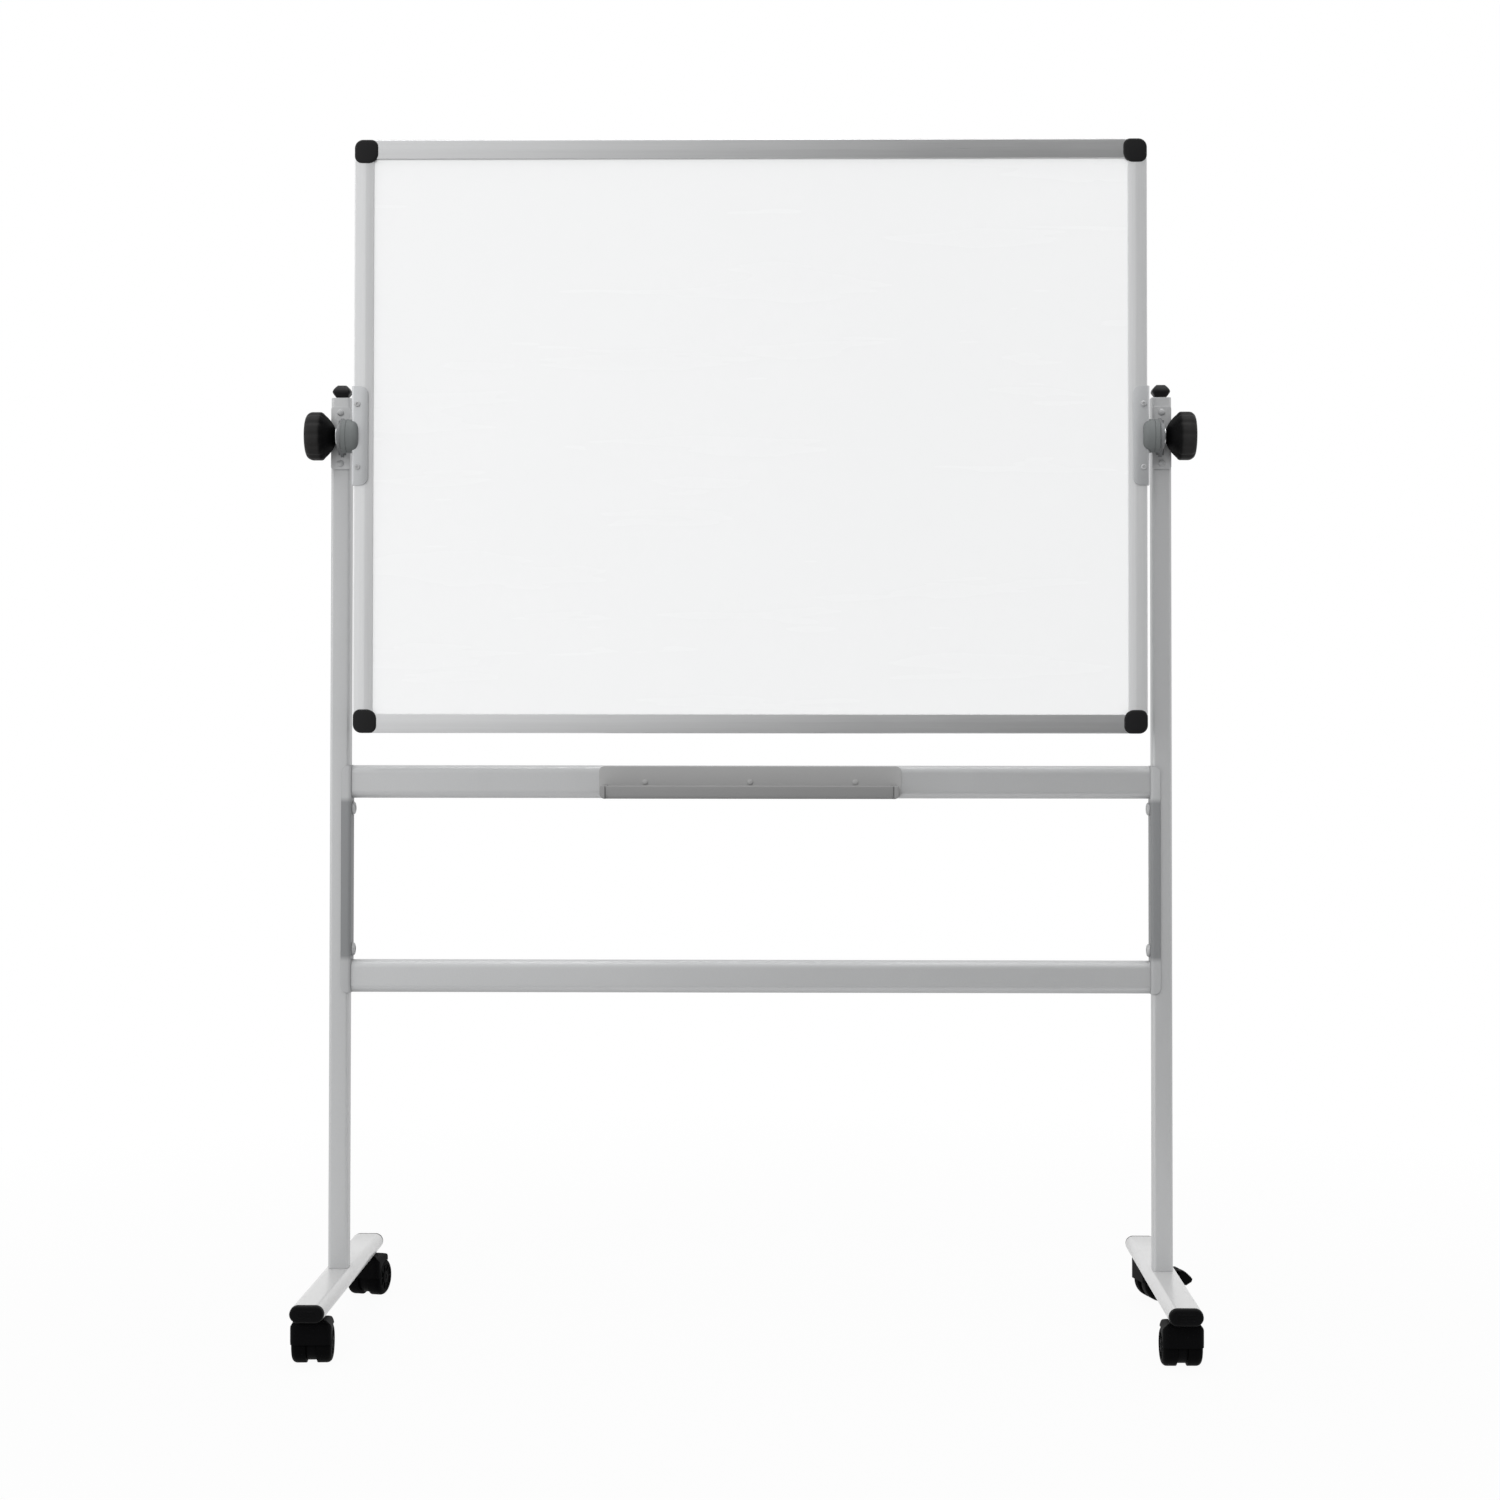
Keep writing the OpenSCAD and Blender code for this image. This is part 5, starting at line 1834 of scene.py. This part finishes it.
@dataclass
class Caster:
    """A twin-wheel caster, in its own frame: u along the trail, v along the axle.

    Attributes:
        corner: Which corner of the stand it carries.
        turn: Its resting direction, in degrees from +X.
        braked: Whether it has a brake pedal.
        trail: Distance of the axle behind the stem.
        wheel_radius: Radius of the wheels.
        wheel_width: Width of each wheel.
        wheel_start: Distance of the wheels from the middle.
        tyre_edge: Rounding of the wheels' outer shoulder.
        hood_half: Half the width of the hood.
        hood_gap: Gap between the wheels and the hood.
        hood_front: Reach of the hood ahead of the stem.
        hood_rear: Reach of the hood behind the axle.
        hood_low: Height of the hood's lower edge above the axle.
        hood_nose: Rounding of its upper front edge.
        hood_shoulder: Rounding of its upper side edges.
        hood_corner: Rounding of its upright front edges.
        hood_tail: Rounding of its upright rear edges.
        hood_lip: Angle down to which it follows the wheels' shoulders, in degrees.
        web: Thickness of the web between the wheels.
        web_inset: How far the web's rim lies inside the wheels' treads.
        web_edge: Rounding of the web's rims.
        column: Reach along u and z of the column round the stem.
        collar: Radius of the stem's collar.
        tab: Angle, reach and width of the tab that carries a pedal.
        tab_half: Half the thickness of the tab.
        pedal_half: Half the width of the pedal.
        shoe: Radius of the brake shoe about the axle.
    """

    bench: Bench
    corner: str
    turn: float
    braked: bool
    trail: float = 0.022
    wheel_radius: float = 0.029
    wheel_width: float = 0.0215
    wheel_start: float = 0.0075
    tyre_edge: float = 0.008
    hood_half: float = 0.030
    hood_gap: float = 0.001
    hood_front: float = 0.011
    hood_rear: float = 0.020
    hood_low: float = 0.002
    hood_nose: float = 0.008
    hood_shoulder: float = 0.013
    hood_corner: float = 0.009
    hood_tail: float = 0.018
    hood_lip: float = 48.0
    web: float = 0.0144
    web_inset: float = 0.004
    web_edge: float = 0.0006
    column: tuple[Point, Point] = ((-0.008, 0.020), (0.033, 0.060))
    collar: float = 0.010
    tab: tuple[float, float, float] = (18.0, 0.037, 0.010)
    tab_half: float = 0.004
    pedal_half: float = 0.020
    shoe: float = 0.0322

    @property
    def frame(self) -> Matrix:
        """The caster's own frame, on the floor under its stem."""
        low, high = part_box("caster_stems")
        x = low.x + self.collar if "left" in self.corner else high.x - self.collar
        y = low.y + self.collar if "front" in self.corner else high.y - self.collar
        return Matrix.Translation((x, y, 0)) @ Matrix.Rotation(math.radians(self.turn), 4, "Z")

    @property
    def upright_section(self) -> Matrix:
        """Frame of a shape drawn in u and z, its Z running along -v."""
        return self.frame @ place((0, 0, 0), (1, 0, 0), (0, 0, 1))

    def drawn(self, form: Form, outline: Sequence[Point], half: float, edge: float) -> Form:
        """Adds an outline in u and z, drawn evenly along the axle.

        Args:
            form: Form that takes it in.
            outline: Anticlockwise outline.
            half: Half its width.
            edge: Radius of its rims.

        Returns:
            The form.
        """
        return form.prism(outline, self.upright_section @ Matrix.Translation((0, 0, -half)), 2 * half, edge)

    def hood_outline(self, top: float) -> list[Point]:
        """Side view of the hood in u and z: a block round the stem that runs into an arc about the axle.

        Args:
            top: Height of its top.

        Returns:
            The outline, anticlockwise.
        """
        low, radius = self.wheel_radius + self.hood_low, top - self.wheel_radius
        nose = (-self.hood_front + self.hood_nose, top - self.hood_nose)
        last = math.degrees(math.acos(self.hood_rear / radius))
        outline = [(-self.hood_front, low), (self.trail + self.hood_rear, low)]
        outline += arc((self.trail, self.wheel_radius), radius, last, 90, 16)
        outline += [(self.trail * k / 5, top) for k in (4, 3, 2, 1)]
        return outline + arc(nose, self.hood_nose, 90, 180, 10)

    def wheel_space(self, side: int) -> Form:
        """Room for a wheel under the hood, which keeps a lip over the wheel's shoulder.

        Args:
            side: 1 on the side of +v, -1 on the other.

        Returns:
            The room, as a form to be carved out.
        """
        radius = self.wheel_radius - self.tyre_edge
        v = self.wheel_start + self.wheel_width - self.tyre_edge
        lip = arc((radius, v), self.tyre_edge + self.hood_gap, 0, self.hood_lip, 8)
        inner = [(0.0, self.web / 2), (self.wheel_radius + self.hood_gap, self.web / 2)]
        outer = [(lip[-1][0], self.hood_half + 0.005), (0.0, self.hood_half + 0.005)]
        frame = self.frame @ Matrix.Translation((self.trail, 0, self.wheel_radius))
        frame = frame @ Matrix.Rotation(-side * math.pi / 2, 4, "X")
        return Form().lathe([*inner, *lip, *outer], frame, 96)

    def hood_shell(self, top: float) -> Form:
        """Hood over both wheels, rounded in its side view, its front view and its plan.

        Args:
            top: Height of its top.

        Returns:
            The shell.
        """
        outline = self.hood_outline(top)
        flat = self.hood_half - self.hood_shoulder
        steps = 10
        stations = [flat * share for share in (-0.5, 0.0, 0.5)]
        for k in range(steps + 1):
            v = flat + self.hood_shoulder * math.sin(math.pi / 2 * k / steps)
            stations += [v, -v]
        rings = []
        for v in sorted(stations):
            over = max(0.0, abs(v) - flat)
            high = top - self.hood_shoulder + math.sqrt(max(self.hood_shoulder**2 - over**2, 0.0))
            first, last = -self.hood_front, self.trail + self.hood_rear
            side = max(0.0, abs(v) - self.hood_half + self.hood_corner)
            first += self.hood_corner - math.sqrt(max(self.hood_corner**2 - side**2, 0.0))
            side = max(0.0, abs(v) - self.hood_half + self.hood_tail)
            last -= self.hood_tail - math.sqrt(max(self.hood_tail**2 - side**2, 0.0))
            rings.append([(min(max(u, first), last), v, min(z, high)) for u, z in outline])
        form = Form().skin(rings, self.frame)
        bmesh.ops.remove_doubles(form.bm, verts=form.bm.verts, dist=TOUCHING)
        for side in (1, -1):
            form = form.carve(self.wheel_space(side))
        return form

    def hood(self) -> None:
        """Builds the hood: shell, web and, on a braked caster, the pedal's tab."""
        form = self.hood_shell(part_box(f"{self.corner}_caster_hood")[1].z)
        disc = arc((self.trail, self.wheel_radius), self.wheel_radius - self.web_inset, 0, 360, 48)[:-1]
        self.drawn(form, disc, self.web / 2, self.web_edge)
        (front, rear), (low, high) = self.column
        column = [(front, low, 0.002), (rear, low, 0.0), (rear, high, 0.0), (front, high, 0.002)]
        self.drawn(form, rounded(column), self.web / 2, self.web_edge)
        if self.braked:
            angle, reach, width = self.tab
            tilt = math.radians(angle)
            tip = arc((reach, 0.0), width / 2, -90, 90)
            bar = [(0.018, -width / 2), *tip, (0.018, width / 2)]
            turned = []
            for x, y in bar:
                u = self.trail + x * math.cos(tilt) - y * math.sin(tilt)
                turned.append((u, self.wheel_radius + x * math.sin(tilt) + y * math.cos(tilt)))
            self.drawn(form, turned, self.tab_half, 0.0005)
        node = f"{self.corner}_caster_hood"
        self.bench.piece(f"{self.corner}_hood", form, Finishes.caster, f"{self.corner}_caster", [node])

    def wheel(self, number: int) -> None:
        """Builds a wheel: tread, dished face, hub and spokes.

        Args:
            number: 1 on the side of +v, 2 on the other.
        """
        side = 1 if number == 1 else -1
        radius, width, edge = self.wheel_radius, self.wheel_width, self.tyre_edge
        face = width
        tread = [(radius - 0.001, 0.0), (radius - 0.0003, 0.0003), (radius, 0.001)]
        shoulder = arc((radius - edge, width - edge), edge, 0, 90)
        dish = [
            (0.0202, face),
            (0.0196, face - 0.0006),
            (0.0186, face - 0.0018),
            (0.0105, face - 0.0024),
            (0.0098, face - 0.0022),
            (0.0092, face - 0.0006),
            (0.0082, face - 0.0001),
            (0.0040, face - 0.0001),
            (0.0034, face - 0.0007),
            (0.0, face - 0.0007),
        ]
        profile = [(0.0, 0.0), *tread, *shoulder, *dish]
        frame = self.frame @ Matrix.Translation((self.trail, side * self.wheel_start, radius))
        frame = frame @ Matrix.Rotation(-side * math.pi / 2, 4, "X")
        form = Form().lathe(profile, frame, 80)
        spokes = []
        for k in range(8):
            arm = Matrix.Rotation(TURN * k / 8, 4, "Z") @ Matrix.Translation((0.0145, 0, face - 0.0025))
            spokes.append(arm)
        bar = Form().prism(block(0.0090, 0.0026, 0.0012), Matrix(), 0.0017, 0.0005)
        form.add(self.bench.repeater.copies(bar, spokes, Finishes.wheel), frame)
        node = f"{self.corner}_wheel_{number}"
        self.bench.piece(f"{self.corner}_roller_{number}", form, Finishes.wheel, node, [node])

    def pedal(self) -> None:
        """Builds the brake pedal with its ribbed toe."""
        angle, reach, width = self.tab
        tilt = math.radians(angle)
        hinge = Vector(
            (self.trail + reach * math.cos(tilt), self.wheel_radius + reach * math.sin(tilt))
        )
        toe = [
            (0.0040, 0.0058, 0.0020),
            (0.0190, -0.0080, 0.0018),
            (0.0170, -0.0130, 0.0022),
            (0.0080, -0.0180, 0.0030),
            (0.0020, -0.0170, 0.0020),
        ]
        outline = rounded([(-0.0030, 0.0052, 0.0018), (-0.0045, -0.0100, 0.0016), *reversed(toe)])
        moved = [(hinge.x + x, hinge.y + y) for x, y in outline]
        form = self.drawn(Form(), moved, self.pedal_half, 0.0012)
        shoe = arc((self.trail, self.wheel_radius), self.shoe, 0, 360, 72)[:-1]
        form = form.carve(self.drawn(Form(), shoe, 2 * self.pedal_half, 0.0))
        slot_half = self.tab_half + 0.0004
        slot_round = width / 2 + 0.002
        slot = arc(tuple(hinge), slot_round, 0, 360, 40)[:-1]
        form = form.carve(self.drawn(Form(), slot, slot_half, 0.0))
        pin = self.upright_section @ Matrix.Translation((hinge.x, hinge.y, -self.pedal_half + 0.001))
        form.lathe([(0.0, 0.0), (0.002, 0.0), (0.002, 0.038), (0.0, 0.038)], pin, 24)
        top, tip = Vector(toe[0][:2]), Vector(toe[1][:2])
        slope = (tip - top).normalized()
        middle = Vector(tuple(hinge)) + top.lerp(tip, 0.56)
        origin = self.frame @ Vector((middle.x, 0, middle.y))
        along = self.frame.to_3x3() @ Vector((slope.x, 0, slope.y))
        across = self.frame.to_3x3() @ Vector((0, 1, 0))
        row = self.bench.ribs.ribs(5, 0.0026, 1.7 * self.pedal_half, 0.0009, Finishes.caster)
        form.add(row, place(origin, across, along))
        node = f"{self.corner}_brake_pedal"
        body = f"{self.corner}_brake"
        self.bench.piece(f"{self.corner}_brake_lever", form, Finishes.caster, body, [node])

    def build(self) -> None:
        """Builds and dresses the caster."""
        self.hood()
        for number in (1, 2):
            self.wheel(number)
        if self.braked:
            self.pedal()
        self.bench.dress(Finishes.zinc, f"{self.corner}_axle")


# Studio


@dataclass
class Studio:
    """Camera, lights, world and floor.

    Attributes:
        camera_place: Where the camera stands.
        yaw: How far it is turned to the left of +Y, in radians.
        pitch: How far it is turned up, in radians.
        roll: How far it is turned about its own axis, in radians.
        focal: Focal length in pixels of the picture.
        centre: Pixel that the camera's axis passes through.
        picture: Side of the square picture, in pixels.
        sensor: Width of the camera's sensor, in millimetres.
        ambient: Strength of the world's light.
        floor_size: Side of the floor.
        floor_colour: Level of the floor's own grey.
        floor_white: Share of plain white in the floor near the object, as the camera sees it.
        floor_fade: Distances from the object between which the floor runs out into white.
        card_levels: Levels of the card behind the camera that only mirrors see, left and right.
        card_span: Where across the card it runs from the one level to the other.
        ground_share: Level of the card on the ground, as a share of that of the card behind the camera.
    """

    camera_place: Corner = (0.0938, -4.3989, 0.9445)
    yaw: float = 0.0139
    pitch: float = 0.021
    roll: float = 0.0008
    focal: float = 2880.0
    centre: Point = (771.78, 648.71)
    picture: float = 1500.0
    sensor: float = 36.0
    ambient: float = 0.63
    floor_size: float = 60.0
    floor_colour: float = 0.55
    floor_white: float = 0.95
    floor_fade: Point = (0.9, 2.4)
    card_levels: Point = (1.0, 0.15)
    card_span: Point = (-1.4, 0.25)
    ground_share: float = 0.9

    def camera(self) -> None:
        """Sets the camera up at the photograph's viewpoint."""
        data = bpy.data.cameras.new("viewpoint")
        data.sensor_width = self.sensor
        data.lens = self.sensor * self.focal / self.picture
        data.shift_x = (self.picture / 2 - self.centre[0]) / self.picture
        data.shift_y = (self.centre[1] - self.picture / 2) / self.picture
        data.clip_end = 200.0
        obj = bpy.data.objects.new("viewpoint", data)
        right = Vector((math.cos(self.yaw), math.sin(self.yaw), 0.0))
        ahead = Vector((-right.y, right.x, 0.0)) * math.cos(self.pitch)
        ahead.z = math.sin(self.pitch)
        facing = place(self.camera_place, right, right.cross(ahead))
        obj.matrix_world = facing @ Matrix.Rotation(self.roll, 4, "Z")
        bpy.context.scene.collection.objects.link(obj)
        bpy.context.scene.camera = obj

    @staticmethod
    def softbox(
        name: str, spot: Sequence[float], aim: Sequence[float], size: Point, watts: float
    ) -> None:
        """Hangs a softbox.

        Args:
            name: Name of the lamp.
            spot: Where it hangs.
            aim: Point that it faces.
            size: Its width and height.
            watts: Its power.
        """
        data = bpy.data.lights.new(name, "AREA")
        data.shape = "RECTANGLE"
        data.size, data.size_y = size
        data.energy = watts
        obj = bpy.data.objects.new(name, data)
        obj.location = spot
        direction = Vector(aim) - Vector(spot)
        obj.rotation_euler = direction.to_track_quat("-Z", "Y").to_euler()
        bpy.context.scene.collection.objects.link(obj)

    @staticmethod
    def sun(name: str, towards: Sequence[float], level: float, spread: float) -> None:
        """Hangs a wide lamp, not seen in mirrors, so far away that its light falls evenly.

        Args:
            name: Name of the lamp.
            towards: Direction from the object to the lamp.
            level: Light that falls on a surface facing it.
            spread: Angle that it fills, in degrees.
        """
        data = bpy.data.lights.new(name, "SUN")
        data.energy = level
        data.angle = math.radians(spread)
        obj = bpy.data.objects.new(name, data)
        obj.rotation_euler = Vector(towards).to_track_quat("Z", "Y").to_euler()
        obj.visible_glossy = False
        bpy.context.scene.collection.objects.link(obj)

    @staticmethod
    def seen(graph: Graph) -> Signal:
        """Share of rays that look at the surroundings: straight, mirrored or through glass."""
        kinds = ("Is Camera Ray", "Is Glossy Ray", "Is Transmission Ray")
        straight, mirrored, through = (graph.node("ShaderNodeLightPath", output=kind) for kind in kinds)
        return straight.maths("MAXIMUM", straight.maths("MAXIMUM", straight, mirrored), through)

    def world(self) -> None:
        """Makes the world: soft light all round, and plain white where it is seen."""
        world = bpy.data.worlds.new("studio")
        world.use_nodes = True
        graph = Graph(world.node_tree)
        background = world.node_tree.nodes["Background"]
        background.inputs["Color"].default_value = (1.0, 1.0, 1.0, 1.0)
        graph.feed(self.ambient + self.seen(graph) * (1.0 - self.ambient), background.inputs["Strength"])
        bpy.context.scene.world = world

    def floor(self) -> None:
        """Lays a plain pale floor that keeps the object's shadow."""
        material = bpy.data.materials.new("studio_floor")
        material.use_nodes = True
        graph = Graph(material.node_tree)
        material.node_tree.nodes.clear()
        grey = (self.floor_colour, self.floor_colour, self.floor_colour, 1.0)
        pale = graph.node("ShaderNodeBsdfDiffuse", None, {"Color": grey})
        white = graph.node("ShaderNodeEmission", None, {"Color": (1.0, 1.0, 1.0, 1.0), "Strength": 1.0})
        away = graph.node("ShaderNodeVectorMath", {"operation": "LENGTH"}, {0: graph.point()}, "Value")
        near, far = self.floor_fade
        sockets = {"Value": away, "From Min": near, "From Max": far, "To Min": self.floor_white}
        share = self.seen(graph) * graph.node("ShaderNodeMapRange", {"clamp": True}, sockets)
        mixed = graph.node("ShaderNodeMixShader", None, {0: share, 1: pale, 2: white})
        graph.end(mixed)
        half = self.floor_size / 2
        corners = [(-half, -half, 0), (half, -half, 0), (half, half, 0), (-half, half, 0)]
        self.staged("studio_floor", corners, material)

    def card_material(self, name: str, share: float) -> bpy.types.Material:
        """Glow of a card, grey towards the right.

        Args:
            name: Name of the material.
            share: Factor of its levels.

        Returns:
            The material.
        """
        material = bpy.data.materials.new(name)
        material.use_nodes = True
        graph = Graph(material.node_tree)
        material.node_tree.nodes.clear()
        across = graph.node("ShaderNodeSeparateXYZ", None, {"Vector": graph.point()}, "X")
        sockets = {"Value": across, "From Min": self.card_span[0], "From Max": self.card_span[1]}
        sockets |= {"To Min": self.card_levels[0], "To Max": self.card_levels[1]}
        level = graph.node("ShaderNodeMapRange", {"clamp": True}, sockets)
        graph.end(graph.node("ShaderNodeEmission", None, {"Color": level, "Strength": share}))
        return material

    def card(self) -> None:
        """Stands cards behind and below the camera, which only mirrors see."""
        left, right, near, away, top = -3.0, 8.0, -0.7, -7.0, 7.0
        wall = [(left, away, 0), (right, away, 0), (right, away, top), (left, away, top)]
        ground = [(left, away, 0.002), (right, away, 0.002), (right, near, 0.002), (left, near, 0.002)]
        cards = (("studio_card", wall, 1.0), ("studio_ground_card", ground, self.ground_share))
        for name, corners, share in cards:
            obj = self.staged(name, corners, self.card_material(name, share))
            obj.visible_camera = False
            obj.visible_diffuse = False
            obj.visible_shadow = False

    @staticmethod
    def staged(name: str, corners: Sequence[Corner], material: bpy.types.Material) -> bpy.types.Object:
        """Puts a flat sheet of the studio in place.

        Args:
            name: Name of the sheet.
            corners: Its four corners.
            material: Its material.

        Returns:
            The sheet.
        """
        mesh = bpy.data.meshes.new(name)
        mesh.from_pydata(corners, [], [(0, 1, 2, 3)])
        mesh.materials.append(material)
        obj = bpy.data.objects.new(name, mesh)
        bpy.context.scene.collection.objects.link(obj)
        return obj

    def build(self) -> None:
        """Sets the studio up."""
        bpy.context.scene.view_settings.view_transform = "Standard"
        self.camera()
        self.world()
        self.floor()
        self.card()
        middle = (0.0, 0.0, 1.0)
        self.sun("key_lamp", (-0.2136, -0.8567, 0.4695), 1.25, 22.0)
        self.softbox("left_softbox", (-14.0, -5.0, 4.0), middle, (8.0, 8.0), 260.0)
        self.softbox("top_softbox", (-0.4, -0.6, 9.0), middle, (5.2, 5.2), 240.0)


def main() -> None:
    """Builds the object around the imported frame, in its studio."""
    logging.basicConfig(level=logging.INFO, format="%(name)s: %(message)s")
    for obj in list(bpy.data.objects):
        bpy.data.objects.remove(obj)
    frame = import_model()
    bench = Bench(frame)
    Studio().build()
    Board(bench).build()
    Pivot(bench).build()
    Stand(bench).build()
    PenTray(bench).build()
    casters = (
        ("front_left", 93.0, True),
        ("front_right", 91.0, False),
        ("rear_left", 76.0, False),
        ("rear_right", 15.0, True),
    )
    for corner, turn, braked in casters:
        Caster(bench, corner, turn, braked).build()


if __name__ == "__main__":
    main()
